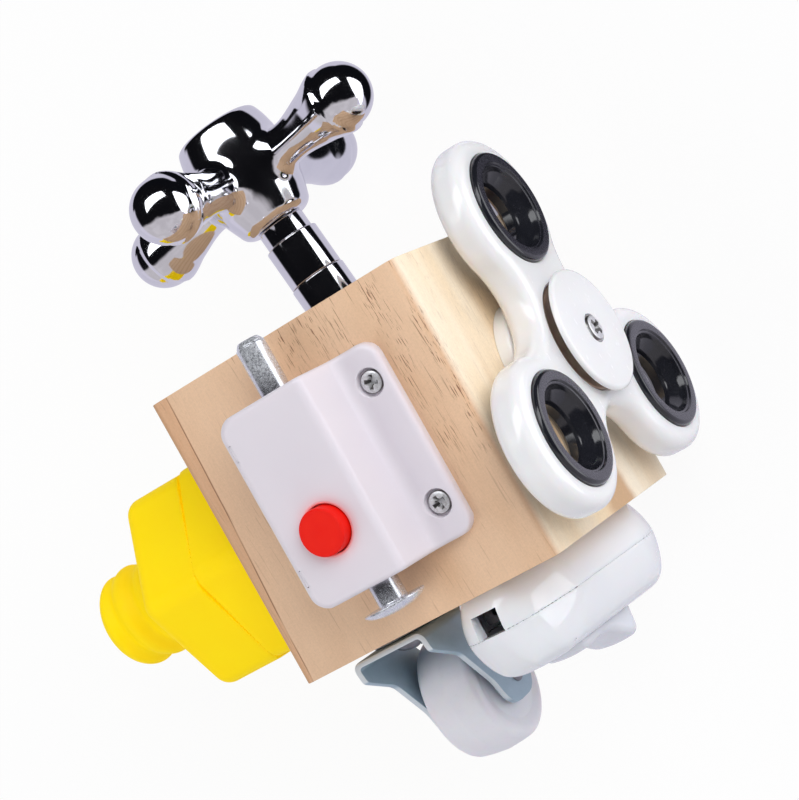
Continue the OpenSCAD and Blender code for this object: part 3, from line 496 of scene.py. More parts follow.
CUBE = 60.0
ON_FRONT = shift(z=CUBE)
LATCH_LEFT, LATCH_RIGHT, LATCH_BOTTOM, LATCH_TOP, LATCH_HEIGHT = -12.2, 19.3, -19.0, 20.0, 13.0
FLANGE = 2.5
BOLT_X, BOLT_HEIGHT, BOLT_R = -0.3, 6.5, 2.9
BUTTON_X, BUTTON_Y, BUTTON_R = -1.2, -6.2, 4.5
WALL_TOP_X, WALL_FOOT_X = 8.5, 10.9
LATCH_SCREWS = [(15.2, 12.9), (15.2, -11.8)]
SNAP_X, SNAP_YS, SNAP_L = -10.65, (-12.0, 13.7), 3.4
ROOM_LEFT, ROOM_BOTTOM, ROOM_RIGHT, ROOM_TOP = -11.0, -17.5, 7.3, 18.5
CEILING = 11.5
BACK_PLATE = 1.2
PARTITION = (0.0, 1.4)


def latch_shape(x, y, z):
    run, drop = WALL_FOOT_X - WALL_TOP_X, LATCH_HEIGHT - FLANGE
    leaning = ((x - WALL_TOP_X) * drop + (z - LATCH_HEIGHT) * run) / math.hypot(run, drop)
    tall = round_most(leaning, z - LATCH_HEIGHT, 1.3)
    section = round_least(tall, z - FLANGE, 2.2)
    plan = rounded_plan(x, y, LATCH_LEFT, LATCH_BOTTOM, LATCH_RIGHT, LATCH_TOP, 3.5)
    soft = 1.0 + 1.0 * ease((-7.0 - x) / 4.0)
    return np.maximum(round_most(section, plan, soft), -0.25 - z)


def moulded_white():
    f = Finish("moulded_white", Specular_IOR_Level=0.5, Subsurface_Weight=0.15,
               Subsurface_Scale=0.002, Subsurface_Radius=(1.0, 0.8, 0.8))
    cloud = f.noise(14)
    grain = f.noise(0.22, 2.0, 0.6)
    scuff = f.wear()
    colour = f.mix(cloud, (226, 219, 228), (233, 227, 234))
    # Painted light: the red button's glow through the shell is painted round it as a pink tint and
    # a bright pink ring at the hole's rim
    reach = ((f.x - BUTTON_X) ** 2.0 + (f.y - BUTTON_Y) ** 2.0).root()
    top = (f.z - CUBE).rise(7.0, 11.5)
    colour = f.mix(reach.rise(8.0, 4.6) ** 2.0 * top * 0.34, colour, (246, 160, 166))
    colour = f.mix(reach.rise(5.45, 4.85) * top * 0.66, colour, (255, 128, 120))
    # Painted shade darkens the corner between wall and flange
    fold = (f.z - CUBE).rise(4.0, 2.4) * f.x.rise(9.6, 11.2) * f.x.rise(13.4, 11.2)
    colour = f.mix(fold * 0.1, colour, (190, 184, 190))
    colour = f.mix(scuff * 0.12, colour, (205, 201, 208))
    return f.skin(colour, 0.3 + grain * 0.08 + scuff * 0.16, (grain + cloud) * 0.5, 0.12, 0.00006)


latch = skin("latch_shell", latch_shape, (LATCH_LEFT, LATCH_BOTTOM, -0.2),
             (LATCH_RIGHT, LATCH_TOP, LATCH_HEIGHT), 0.36, ON_FRONT)
RING = 1.5
ring_cut = lathe(soften([(0, -1), (1.55, -1), (1.55, FLANGE - RING), (2.68, FLANGE - RING, 0.12),
                         (2.72, FLANGE - 0.06, 0.1), (3.2, FLANGE + 0.3), (3.2, 9), (0, 9)]))
button_cut = lathe([(0, CEILING - 1), (BUTTON_R + 0.2, CEILING - 1),
                    (BUTTON_R + 0.2, LATCH_HEIGHT - 0.25), (BUTTON_R + 0.3, LATCH_HEIGHT - 0.08),
                    (BUTTON_R + 0.55, LATCH_HEIGHT + 0.1), (0, LATCH_HEIGHT + 0.1)], 96)
slits = [box(SNAP_X - 0.28, y - SNAP_L / 2, CEILING - 1, SNAP_X + 0.28, y + SNAP_L / 2, 14)
         for y in SNAP_YS]
cut(latch, ON_FRONT, *[box(ROOM_LEFT, low, -1, ROOM_RIGHT, high, CEILING)
                       for low, high in ((ROOM_BOTTOM, PARTITION[0]), (PARTITION[1], ROOM_TOP))])
cut(latch, ON_FRONT, box(ROOM_LEFT, ROOM_BOTTOM, -1, ROOM_RIGHT, ROOM_TOP, BACK_PLATE),
    moved(button_cut, shift(BUTTON_X, BUTTON_Y)), *slits,
    *[moved(ring_cut, shift(x, y)) for x, y in LATCH_SCREWS])
ON_BOLT = ON_FRONT @ shift(BOLT_X, 0, BOLT_HEIGHT) @ spin(-90, "X")
cut(latch, ON_BOLT, rod(BOLT_R + 0.1, -25, 25, 48))
shell_white = moulded_white()
finish(latch, shell_white, "latch_case", angle=34)

# Back plate of the latch
# A flat plate of the same nylon closes the case at the wood. Its two snap legs
# reach up into the slits and lie just under the case's top.
SNAP_LIFT = 0.00028
plate = cad_copy("latch_back_plate", "latch_plate", 0.08)
for corner in plate.data.vertices:
    if corner.co.z > (CUBE + CEILING) * 0.001:
        corner.co.z += SNAP_LIFT
finish(plate, shell_white, "latch_back_plate")

# Latch bolt
# A turned steel pin, zinc plated, with a rounded tip and a thin upset head that the
# fingers pull. A collar is pressed into its groove inside the case.


def plated_steel(name, colour, dark, rough, along=(1, 1, 1), streak=0.9, frost=0.0, recess_shade=0.0,
                 rubbed=None):
    """Zinc or nickel plate: drawn lines, dulled patches, pale crystals, painted shade in recesses.
    """
    f = Finish(name, Metallic=1.0)
    drawn = f.streaks(0.12, along, 3.0, 0.6)
    patch = f.noise(1.6, 4.0, 0.65)
    spots = f.noise(0.5, 3.0, 0.7).rise(0.6, 0.75)
    base = f.mix((patch - 0.25) * 1.2, dark, colour)
    base = f.mix(spots * 0.4 * streak, base, dark)
    links = {}
    if frost:
        nx, ny, nz = f.parts(f.normal)
        # Painted shade: faces that lean off the axes, as in a screw's recess, are darkened and lose
        # their crystals
        sunk_shade = abs(nx).most(abs(ny)).most(abs(nz)).rise(0.86, 0.7) * recess_shade
        crystals = (f.noise(0.4, 3.0, 0.7).rise(0.36, 0.64) * 0.5 + 0.36) * frost * (1 - sunk_shade)
        base = f.mix(sunk_shade * 0.75, base, (52, 50, 48))
        if rubbed:
            crystals = crystals * (abs(f.y).rise(*rubbed) * 0.85 + 0.15)
        base = f.mix(crystals, base, (236, 240, 246))
        links = {"Metallic": 1 - crystals * 0.85}
    return f.skin(base, rough + patch * 0.16 + spots * 0.12, drawn + spots * 0.6, 0.16, 0.00004,
                  **links)


def turned(name, profile, steps, place, material, node, body="block"):
    """A finished piece, turned from a profile whose corners are rounded."""
    made = object_from(name, *lathe(soften(profile), steps), place)
    return finish(made, material, node, body)


BOLT_HEAD, BOLT_TIP, BOLT_HEAD_R, BOLT_HEAD_T = -23.4, 30.7, 6.15, 1.9
GROOVE_FOOT, GROOVE_TOP, GROOVE_R = 17.3, 18.4, BOLT_R - 0.5
bolt_steel = plated_steel("bolt_plate", (244, 246, 252), (196, 198, 206), 0.16, (1, 0.04, 1),
                          streak=0.6, frost=0.72, rubbed=(19.5, 25.0))
head_dome = [(BOLT_HEAD_R * x, BOLT_HEAD - BOLT_HEAD_T * y)
             for y, x in (on_arc(1, a) for a in range(0, 69, 4))]
turned("sliding_bolt", head_dome + [
    (BOLT_HEAD_R, BOLT_HEAD - 0.35, 0.15), (BOLT_HEAD_R - 0.05, BOLT_HEAD, 0.14),
    (BOLT_R, BOLT_HEAD, 0.4), (BOLT_R, GROOVE_FOOT), (GROOVE_R, GROOVE_FOOT),
    (GROOVE_R, GROOVE_TOP), (BOLT_R, GROOVE_TOP), (BOLT_R, BOLT_TIP - 1.25, 0.15),
    (BOLT_R - 0.3, BOLT_TIP - 1.05, 0.2), (BOLT_R - 0.3, BOLT_TIP - 0.9, 0.1),
    (BOLT_R - 0.9, BOLT_TIP - 0.05, 0.5), (0, BOLT_TIP)],
    96, ON_BOLT, bolt_steel, "latch_bolt", "latch_bolt")
spring_steel = plated_steel("spring_steel", (150, 152, 158), (84, 86, 92), 0.3)
from_cad("latch_collar", "bolt_collar", spring_steel, "spring_steel", 0.1, body="latch_bolt")

# Springs
# Two coiled wires hidden in the latch: one pushes the bolt out against its stop, the
# other lifts the button.


def tree_of(name, **sizes):
    """A Geometry Nodes tree with named inputs."""
    tree = bpy.data.node_groups.new(name, "GeometryNodeTree")
    tree.interface.new_socket("Geometry", in_out="OUTPUT", socket_type="NodeSocketGeometry")
    for label, kind in {**sizes, "Material": "Material"}.items():
        tree.interface.new_socket(label.replace("_", " "), in_out="INPUT",
                                  socket_type="NodeSocket" + kind)
    return tree, tree.nodes.new("NodeGroupInput").outputs


def ended(tree, sizes, kind, inputs):
    """The tree's last shape, with its instances made real and the material set."""
    real = node_of(tree, "GeometryNodeRealizeInstances", {0: node_of(tree, kind, inputs)})
    painted = node_of(tree, "GeometryNodeSetMaterial", {0: real, "Material": sizes["Material"]})
    node_of(tree, "NodeGroupOutput", {0: painted})
    return tree


def grown(name, tree, values, material, place=Matrix.Identity(4)):
    """The mesh that a tree makes from these values, as a plain object at the origin."""
    made = new_object(name, bpy.data.meshes.new(name))
    grow = made.modifiers.new("grow", "NODES")
    grow.node_group = tree
    for item in tree.interface.items_tree:
        if item.in_out == "INPUT":
            grow[item.identifier] = {**values, "Material": material}[item.name]
    bake(made)
    made.data.transform(Matrix.Scale(0.001, 4) @ place)
    return made


def coil_tree():
    tree, sizes = tree_of("coil_spring", Turns="Float", Radius="Float", Height="Float",
                          Wire="Float")
    path = node_of(tree, "GeometryNodeCurveSpiral", {
        "Resolution": 28, "Rotations": sizes["Turns"], "Start Radius": sizes["Radius"],
        "End Radius": sizes["Radius"], "Height": sizes["Height"]})
    wire = node_of(tree, "GeometryNodeCurvePrimitiveCircle", {
        "Resolution": 10, "Radius": sizes["Wire"]})
    return ended(tree, sizes, "GeometryNodeCurveToMesh", {
        "Curve": path, "Profile Curve": wire, "Fill Caps": True})


coil = coil_tree()
SPRING_WIRE = 0.35
SPRINGS = [
    ("bolt_coil", "latch_bolt_spring", "bolt_slide", ON_BOLT @ shift(z=1.5), 15.7, BOLT_R + 0.62, 9,
     (0, 1, 0), (BOLT_X * 0.001, 0.0015, 0.0665), 0.36),
    ("button_coil", "latch_button_spring", "button_push", ON_FRONT @ shift(-8.0, BUTTON_Y, 1.3),
     8.7, 1.4, 6, (0, 0, 1), (-0.008, BUTTON_Y * 0.001, 0.0613), 0.77)]
for name, node, joint, place, length, radius, turns, axis, anchor, kept in SPRINGS:
    made = grown(name, coil, {"Turns": float(turns), "Radius": radius, "Wire": SPRING_WIRE,
                              "Height": length - 2 * SPRING_WIRE}, spring_steel,
                 place @ shift(z=SPRING_WIRE))
    finish(made, spring_steel, node)
    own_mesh(made)

# Red button
# A moulded push button. Below its round top a yoke straddles the bolt, and the yoke's
# arm rests on its own spring.


def red_plastic():
    f = Finish("button_red", Specular_IOR_Level=0.12)
    reach = ((f.x - BUTTON_X) ** 2.0 + (f.y - BUTTON_Y) ** 2.0).root()
    grain = f.noise(0.2, 2.0, 0.6)
    swirl = f.noise(2.5, 3.0)
    colour = f.mix(swirl, (238, 18, 6), (246, 34, 14))
    colour = f.mix(reach.rise(3.2, 4.4) * 0.3, colour, (236, 20, 16))
    colour = f.mix(f.wear(14) * 0.15, colour, (250, 90, 70))
    return f.skin(colour, 0.42 + grain * 0.12, grain + swirl * 0.6, 0.14, 0.00006)


BUTTON_TOP = LATCH_HEIGHT + 2.6
button = object_from("push_button", *lathe(soften([
    (0, 10.0), (BUTTON_R, 10.0, 0.1), (BUTTON_R, BUTTON_TOP, 0.42), (0, BUTTON_TOP)], 8), 96),
    ON_FRONT @ shift(BUTTON_X, BUTTON_Y))
cut(button, ON_FRONT, box(-10.0, -10.2, 10.0, 4.5, -2.2, 11.3),
    *[box(x, -10.2, 4.7, x + 1.6, -2.2, 11.3) for x in (-5.1, 2.9)], operation="UNION")
cut(button, ON_FRONT, box(-3.5, -11.2, 3, 2.9, -1.2, BOLT_HEIGHT + BOLT_R + 2.3))
finish(button, red_plastic(), "latch_button", "latch_button")

# Cross-head screws
# Plated screws with a domed head and a cross recess, driven to different turns. One
# tree sets a screw on each given point and turns each by its own random angle.


def prism(first, second):
    """Points and faces of a solid between two outlines that have as many points."""
    n = len(first)
    sides = [(k, n + k, n + (k + 1) % n, (k + 1) % n) for k in range(n)]
    return [*first, *second], [tuple(range(n)), tuple(range(2 * n - 1, n - 1, -1)), *sides]


def cross_screw(head_r, head_h, shank_r, depth):
    """One screw standing on z = 0, its recess tapering to a point."""
    made = object_from("screw", *lathe(soften([
        (0, -depth), (shank_r * 0.5, -depth + 1.2), (shank_r, -depth + 3), (shank_r, 0),
        (head_r - 0.15, 0), (head_r, 0.12, 0.1), (head_r, head_h * 0.55, 0.35),
        (head_r * 0.86, head_h * 0.92, 0.8), (head_r * 0.45, head_h, 2.0), (0, head_h)]), 72))
    wide, deep, wing = head_r * 0.66, head_h * 1.15, head_r * 0.165
    rim = head_h + 0.2
    blade = prism(*[[(x, y, z), (-x, y, z), (-x, -y, z), (x, -y, z)] for x, y, z in (
        (wide, wing * 1.15, rim), (wide * 0.35, wing * 0.6, head_h - deep))])
    heart = lathe([(0, head_h - deep * 0.8), (wing * 1.3, head_h - deep * 0.6),
                   (wing * 2.3, rim), (0, rim)], 24)
    for solid in (blade, moved(blade, spin(90, "Z")), heart):
        cut(made, shift(), solid)
    # Broken edges round the recess catch the light
    return bevel(made, 0.05, 35)


def screws_tree():
    tree, sizes = tree_of("driven_screws", Points="Object", Screw="Object", Turn="Float",
                          Seed="Int")
    points, screw = (node_of(tree, "GeometryNodeObjectInfo", {"Object": sizes[label]})
                     .outputs["Geometry"] for label in ("Points", "Screw"))
    turn = node_of(tree, "FunctionNodeRandomValue", {3: sizes["Turn"], "Seed": sizes["Seed"]},
                   data_type="FLOAT")
    angle = node_of(tree, "ShaderNodeCombineXYZ", {"Z": turn.outputs[1]})
    return ended(tree, sizes, "GeometryNodeInstanceOnPoints", {
        "Points": points, "Instance": screw, "Rotation": angle})


screws_grow = screws_tree()
screw_plate = plated_steel("screw_plate", (236, 234, 232), (180, 176, 172), 0.3, streak=0.6,
                           frost=0.7, recess_shade=1.0)


def drive(name, screw, points, place, seed, turn, node):
    """Sets copies of a screw on points given in millimetres in the frame of place."""
    spots = object_from("spots", points, [])
    made = grown(name, screws_grow, {"Points": spots, "Screw": screw, "Turn": turn, "Seed": seed},
                 screw_plate, place @ Matrix.Scale(1000, 4))
    bpy.data.objects.remove(spots)
    bpy.data.objects.remove(screw)
    finish(made, screw_plate, node, angle=28)


drive("latch_screw_pair", cross_screw(2.3, 1.1, 1.4, 11.6),
      [(x, y, FLANGE - RING + 0.01) for x, y in LATCH_SCREWS], ON_FRONT, 4, 1.6, "latch_screws")

# Spinner body
# An injection-moulded three-lobed wheel of glossy white plastic. Its edges are well
# rounded and its four holes take the bearing and the three ring weights.
HALF = CUBE / 2
SPIN_Y, SPIN_FOOT, SPIN_T = 1.9, 3.7, 7.5
SPIN_TOP = SPIN_FOOT + SPIN_T
LOBE_AT, LOBE_R, WAIST_R, SPIN_EDGE = 27.2, 15.2, 14.0, 2.6
LOBES = (90, 210, 330)
WEIGHT_R, BEARING_R = 11.35, 11.0
ON_SPINNER = shift(HALF, 0, HALF) @ spin(90, "Y") @ shift(0, SPIN_Y)
HOLLOW_R = (WAIST_R ** 2 + LOBE_AT ** 2 - LOBE_R ** 2 - WAIST_R * LOBE_AT) / (
    2 * LOBE_R - 2 * WAIST_R + LOBE_AT)


def spinner_shape(x, y, z):
    around = np.degrees(np.arctan2(y, x)) - LOBES[0]
    fold = np.radians(np.abs((around + 60) % 120 - 60))
    r = np.hypot(x, y)
    a, b = r * np.cos(fold), r * np.sin(fold)
    hx, hy = on_arc(WAIST_R + HOLLOW_R, 60)
    lobe = np.hypot(a - LOBE_AT, b) - LOBE_R
    hollow = HOLLOW_R - np.hypot(a - hx, b - hy)
    outline = np.where((a - LOBE_AT) * hy - b * (hx - LOBE_AT) > 0, lobe, hollow)
    return round_most(outline, np.abs(z - SPIN_FOOT - SPIN_T / 2) - SPIN_T / 2, SPIN_EDGE)


def glossy_white():
    f = Finish("spinner_gloss", Specular_IOR_Level=0.55, Coat_Roughness=0.06,
               Subsurface_Weight=0.12, Subsurface_Scale=0.0015)
    flow = f.noise(16)
    ripple = f.noise(3.2)
    hair = f.streaks(0.5, (1, 0.15, 0.6), 4.0, 0.7).rise(0.6, 0.7)
    colour = f.mix(flow, (239, 239, 241), (246, 246, 248))
    colour = f.mix(hair * 0.1, colour, (214, 213, 216))
    return f.skin(colour, 0.13 + hair * 0.2 + flow * 0.06, ripple + hair * 0.1, 0.05, 0.00008,
                  Coat_Weight=0.3)


def seat_hole(r, chamfer):
    return lathe([(0, SPIN_FOOT - 1), (r, SPIN_FOOT - 1), (r, SPIN_TOP - chamfer),
                  (r + chamfer + 0.3, SPIN_TOP + 0.3), (0, SPIN_TOP + 0.3)], 96)


spinner = skin("spinner_wheel", spinner_shape, (-43, -43, SPIN_FOOT), (43, 43, SPIN_TOP), 0.5,
               ON_SPINNER)
lobe_places = [spin(angle, "Z") @ shift(LOBE_AT) for angle in LOBES]
cut(spinner, ON_SPINNER, seat_hole(BEARING_R + 0.05, 0.5),
    *[moved(seat_hole(WEIGHT_R + 0.05, 0.2), at) for at in lobe_places])
spinner_gloss = glossy_white()
finish(spinner, spinner_gloss, "spinner_body", "spinner", 32)

# Ring weights
# Three turned rings, blackened and lacquered, pressed into the lobes: a rounded rim,
# a small step, then a dished slope down into a deep hole.


def black_gloss():
    f = Finish("weight_lacquer", Specular_IOR_Level=0.45, Coat_Roughness=0.12)
    fine = f.noise(0.5, 4.0, 0.7)
    scuff = f.wear(7)
    # Flat faces that face out are lighter grey as painted sheen, and rougher
    flat_sheen = f.parts(f.normal)[0].rise(0.95, 0.995)
    colour = f.mix(f.noise(5, 3.0), (22, 23, 28), (34, 35, 42))
    colour = f.mix(flat_sheen * 0.85, colour, (58, 57, 66))
    colour = f.mix(scuff * 0.2, colour, (80, 81, 88))
    return f.skin(colour, 0.1 + flat_sheen * 0.12 + fine * 0.1 + scuff * 0.2, fine, 0.06, 0.00005,
                  Coat_Weight=0.35)


lacquer = black_gloss()
WEIGHT_TOP, WEIGHT_HOLE = SPIN_TOP + 1.1, 6.2
for number, at in enumerate(lobe_places, 1):
    turned("ring_weight_%d" % number, [
        (WEIGHT_HOLE, SPIN_FOOT + 2.6), (WEIGHT_HOLE + 0.7, SPIN_FOOT + 1.9, 0.4),
        (WEIGHT_R - 2.1, SPIN_FOOT + 0.4, 0.4), (WEIGHT_R - 1.2, SPIN_FOOT, 0.2),
        (WEIGHT_R, SPIN_FOOT + 0.5), (WEIGHT_R, WEIGHT_TOP, 0.8),
        (WEIGHT_R - 2.3, WEIGHT_TOP, 0.18), (WEIGHT_R - 2.5, WEIGHT_TOP - 0.4, 0.1),
        (WEIGHT_R - 2.85, WEIGHT_TOP - 0.42, 0.3), (WEIGHT_HOLE + 1.9, WEIGHT_TOP - 1.6, 2.0),
        (WEIGHT_HOLE + 0.25, WEIGHT_TOP - 3.4, 1.0), (WEIGHT_HOLE, WEIGHT_TOP - 4.2, 0.4)],
        128, ON_SPINNER @ at, lacquer, "spinner_weight_%d" % number, "spinner")

# Ball bearing
# A shielded 22 mm bearing: the outer race with its two thin shields turns with the
# body, the inner race is clamped by the caps, and seven balls run between them.


def warm_metal(name, patches, low, high, rough, dulled, lines, along, depth):
    """Browned steel or brass: cloudy patches over the fine lines of turning or rolling."""
    f = Finish(name, Metallic=1.0)
    patch = f.noise(patches, 3.0)
    return f.skin(f.mix(patch, low, high), rough + patch * dulled, f.streaks(lines, along),
                  depth, 0.00003)


def both_ways(half, middle=0.0):
    """An outline of (r, z) points and, above the middle, its mirror image."""
    return half + [(r, 2 * middle - z, *fillet) for r, z, *fillet in half[::-1] if z != middle]


BEARING_FOOT, BEARING_TOP = SPIN_FOOT + 0.25, SPIN_FOOT + 7.25
BEARING_MIDDLE = (BEARING_FOOT + BEARING_TOP) / 2
PITCH_R, BALL_R, GROOVE_ARC = 7.5, 2.0, 2.05
RACE, BORE_R, SHIELD_R, INNER_R = 1.75, 4.0, 6.25, 5.72


def ball_groove(start):
    return [on_arc(GROOVE_ARC, a, PITCH_R, BEARING_MIDDLE) for a in range(start, start - 61, -10)]


race = warm_metal("race_steel", 2.4, (198, 178, 158), (150, 128, 108), 0.28, 0.15, 0.1,
                  (1, 1, 1), 0.1)
turned("outer_race", both_ways([
    (BEARING_R - RACE, BEARING_FOOT + 0.5), (SHIELD_R, BEARING_FOOT + 0.5),
    (SHIELD_R, BEARING_FOOT + 0.2), (BEARING_R - 1.25, BEARING_FOOT + 0.2, 0.1),
    (BEARING_R - 1.1, BEARING_FOOT), (BEARING_R, BEARING_FOOT, 0.4)], BEARING_MIDDLE)
    + ball_groove(30), 96, ON_SPINNER, race, "spinner_outer_race", "spinner")
turned("inner_race", [
    (BORE_R, BEARING_TOP, 0.25), (BORE_R, BEARING_FOOT, 0.25), (INNER_R, BEARING_FOOT, 0.25),
    *ball_groove(210), (INNER_R, BEARING_TOP, 0.25)],
    96, ON_SPINNER, race, "spinner_inner_race")


def balls_tree():
    tree, sizes = tree_of("ball_ring", Balls="Int", Pitch_Radius="Float", Ball_Radius="Float")
    ring = node_of(tree, "GeometryNodeMeshCircle", {
        "Vertices": sizes["Balls"], "Radius": sizes["Pitch Radius"]})
    ball = node_of(tree, "GeometryNodeMeshUVSphere", {
        "Segments": 32, "Rings": 16, "Radius": sizes["Ball Radius"]})
    return ended(tree, sizes, "GeometryNodeInstanceOnPoints", {"Points": ring, "Instance": ball})


ball_steel = plated_steel("ball_steel", (206, 206, 210), (150, 150, 156), 0.08, streak=0.3)
finish(grown("bearing_balls", balls_tree(),
             {"Balls": 7, "Pitch Radius": PITCH_R, "Ball Radius": BALL_R}, ball_steel,
             ON_SPINNER @ shift(z=BEARING_MIDDLE)),
       ball_steel, "spinner_balls", "spinner")

# Caps and screw of the spinner
# Two white discs clamp the inner race between them; their stems meet in its bore. The
# front cap has a rounded edge and a shallow round seat for the screw's head.
CAP_R, CAP_T, CAP_LIFT, CAP_GAP, CAP_SINK = 12.5, 1.1, 2.0, 0.4, 1.0
REAR_CAP_R, CAP_STEM_R, CAP_NECK_R, CAP_BORE_R, CAP_SEAT_R = 12.2, 3.95, 5.35, 1.8, 2.95
CAP_FOOT = SPIN_TOP + CAP_LIFT
CAP_TOP = CAP_FOOT + CAP_T
REAR_TOP = SPIN_FOOT - CAP_GAP
turned("front_cap", [
    (CAP_BORE_R, BEARING_MIDDLE + 0.1), (CAP_STEM_R, BEARING_MIDDLE + 0.1),
    (CAP_STEM_R, BEARING_TOP), (CAP_NECK_R, BEARING_TOP), (CAP_NECK_R, CAP_FOOT, 0.3),
    (CAP_R, CAP_FOOT, 0.2), (CAP_R, CAP_TOP, 0.75), (CAP_SEAT_R, CAP_TOP, 0.08),
    (CAP_SEAT_R, CAP_TOP - CAP_SINK, 0.1), (CAP_BORE_R, CAP_TOP - CAP_SINK)],
    128, ON_SPINNER, spinner_gloss, "spinner_front_cap")
turned("rear_cap", [
    (CAP_BORE_R, BEARING_MIDDLE), (CAP_BORE_R, 0), (REAR_CAP_R, 0, 0.3),
    (REAR_CAP_R, REAR_TOP, 0.9), (CAP_NECK_R, REAR_TOP, 0.3), (CAP_NECK_R, BEARING_FOOT),
    (CAP_STEM_R, BEARING_FOOT), (CAP_STEM_R, BEARING_MIDDLE)],
    128, ON_SPINNER, spinner_gloss, "spinner_rear_cap")
drive("cap_screw", cross_screw(2.75, 1.54, 1.7, 27.9), [(0, 0, CAP_TOP - CAP_SINK + 0.01)],
      ON_SPINNER, 9, 1.2, "spinner_screw")

# Tap handle
# A cast brass cross handle, polished and chromed: a barrel hub and four waisted arms
# that end in balls. It is bored for the spindle and closed by a plug on top.
TAP_X, TAP_LEAN, TAP_TURN = -0.3, 6.35, 7.5
ON_TAP = shift(0, HALF, HALF) @ spin(-90, "X") @ shift(TAP_X) @ spin(-TAP_LEAN, "Y")
HANDLE_FOOT, HUB_LENGTH, ARM_UP, BALL_AT, TAP_BALL_R = 19.8, 22.4, 10.7, 27.8, 6.6
HUB_TOP = HANDLE_FOOT + HUB_LENGTH
HUB_CURVE = np.polyfit([0, 1.2, 3.6, 6.6, 9, 10.7, 14.2, 17.8, 20.4, 22.4],
                       [7.3, 7.75, 8.5, 9.55, 10.05, 10.2, 10.2, 9.9, 9.3, 8.5], 5)
ARM_CURVE = np.polyfit([5, 7, 9, 11.4, 15, 18.6, 22.8, 26],
                       [5.4, 5.05, 4.6, 4.22, 4.42, 5.05, 6.0, 6.5], 5)


def tap_shape(x, y, z):
    up = z - HANDLE_FOOT
    hub = (np.hypot(x, y) - np.polyval(HUB_CURVE, np.clip(up, -1, 24))) * 0.93
    hub = round_most(round_most(hub, up - HUB_LENGTH, 0.9), -up, 1.6)
    c, s = on_arc(1, TAP_TURN)
    a, b = np.abs(x * c - y * s), np.abs(x * s + y * c)
    out, side = np.maximum(a, b), np.minimum(a, b)
    over = np.hypot(side, up - ARM_UP)
    arm = np.maximum((over - np.polyval(ARM_CURVE, np.clip(out, 4, 26))) * 0.96, out - 26)
    ball = np.hypot(out - BALL_AT, over) - TAP_BALL_R
    return round_least(hub, round_least(arm, ball, 2.0), 1.8)


def chrome():
    f = Finish("chrome", Metallic=1.0)
    haze = f.noise(5, 3.0)
    specks = f.noise(0.35, 4.0, 0.75).rise(0.68, 0.78)
    colour = f.mix(haze, (222, 222, 228), (236, 236, 240))
    colour = f.mix(specks * 0.25, colour, (150, 150, 156))
    return f.skin(colour, 0.055 + haze * 0.04 + specks * 0.12, f.noise(3.0), 0.04, 0.0001)


mirror = chrome()
handle = skin("cross_handle", tap_shape, (-35, -35, HANDLE_FOOT), (35, 35, HUB_TOP), 0.42,
              ON_TAP, 3)
PLUG_R, SPINDLE_HOLE, SCREW_ROOM = 6.5, 3.05, 4.9
PLUG_FOOT, SHOULDER = HUB_TOP - 1.6, HANDLE_FOOT + HUB_LENGTH * 0.65
cut(handle, ON_TAP, lathe([
    (0, HANDLE_FOOT - 1), (SPINDLE_HOLE, HANDLE_FOOT - 1), (SPINDLE_HOLE, SHOULDER),
    (SCREW_ROOM, SHOULDER), (SCREW_ROOM, PLUG_FOOT), (PLUG_R + 0.05, PLUG_FOOT),
    (PLUG_R + 0.05, HUB_TOP - 0.25), (PLUG_R + 0.35, HUB_TOP + 0.05), (0, HUB_TOP + 0.05)], 96))
finish(handle, mirror, "tap_handle", "tap_handle", 30)
turned("hub_plug", [
    (0, PLUG_FOOT), (PLUG_R, PLUG_FOOT), (PLUG_R, HUB_TOP - 0.05, 0.3),
    (4.6, HUB_TOP - 0.02, 0.8), (4.1, HUB_TOP - 0.16, 0.6), (0, HUB_TOP - 0.2)],
    96, ON_TAP, mirror, "tap_plug", "tap_handle")

# Stem of the tap
# Three chromed sleeves stacked on a steel spindle, each seam a fine turned groove. The
# lowest reaches into the wood, because the tap leans.
for name, low, high, r in (("stem_top", 16.0, 19.6, 4.9), ("stem_middle", 7.1, 15.9, 5.6),
                           ("stem_base", -0.9, 7.0, 5.8)):
    turned(name, [(SPINDLE_HOLE, high), (SPINDLE_HOLE, low), (r, low, 0.18), (r, high, 0.22)],
           96, ON_TAP, mirror, "tap_" + name)
shaft_steel = plated_steel("spindle_steel", (170, 170, 174), (110, 110, 116), 0.3, (1, 0.1, 1))
from_cad("tap_spindle", "tap_shaft", shaft_steel, "screw_steel", 0.15)
from_cad("tap_handle_screw", "hub_screw", shaft_steel, "screw_steel", 0.15)

# Toy bolt
# One moulding of matt yellow plastic: a six-sided head against the wood and a thick
# threaded end with a round, shallow thread.
STUD_R, STUD_L, STUD_END, HEX, HEX_CORNER, HEAD_T = 10.5, 51.0, 4.5, 41.4, 4.0, 14.4
PITCH, THREAD, HEAD_TURN = 6.1, 1.25, 3.0
ON_TOY = shift(-HALF, -3.5, HALF) @ spin(-90, "Y")


def hexagon(x, y, turn=0.0):
    """Distance to a hexagon with rounded corners, one corner on the x axis."""
    c, s = on_arc(1, turn)
    a, b = np.abs(x * c + y * s), np.abs(y * c - x * s)
    kx, ky = -math.sqrt(0.75), 0.5
    inward = 2 * np.minimum(a * kx + b * ky, 0)
    a, b = a - inward * kx, b - inward * ky
    reach = HEX / 2 - HEX_CORNER
    half_side = reach * math.tan(math.pi / 6)
    a, b = a - np.clip(a, -half_side, half_side), b - reach
    return np.hypot(a, b) * np.sign(b) - HEX_CORNER


def toy_bolt_shape(x, y, z):
    phase = 2 * np.pi * z / PITCH - np.arctan2(y, x)
    depth = THREAD * ease((z - HEAD_T + 1) / 2) * ease((STUD_L - 1.5 - z) / 4)
    stud = (np.hypot(x, y) - STUD_R + depth * (0.5 - 0.5 * np.cos(phase)) ** 1.3) * 0.86
    head = round_most(hexagon(x, y, HEAD_TURN), z - HEAD_T, 0.15)
    return np.maximum(round_least(head, round_most(stud, z - STUD_L, STUD_END), 0.6), -0.2 - z)


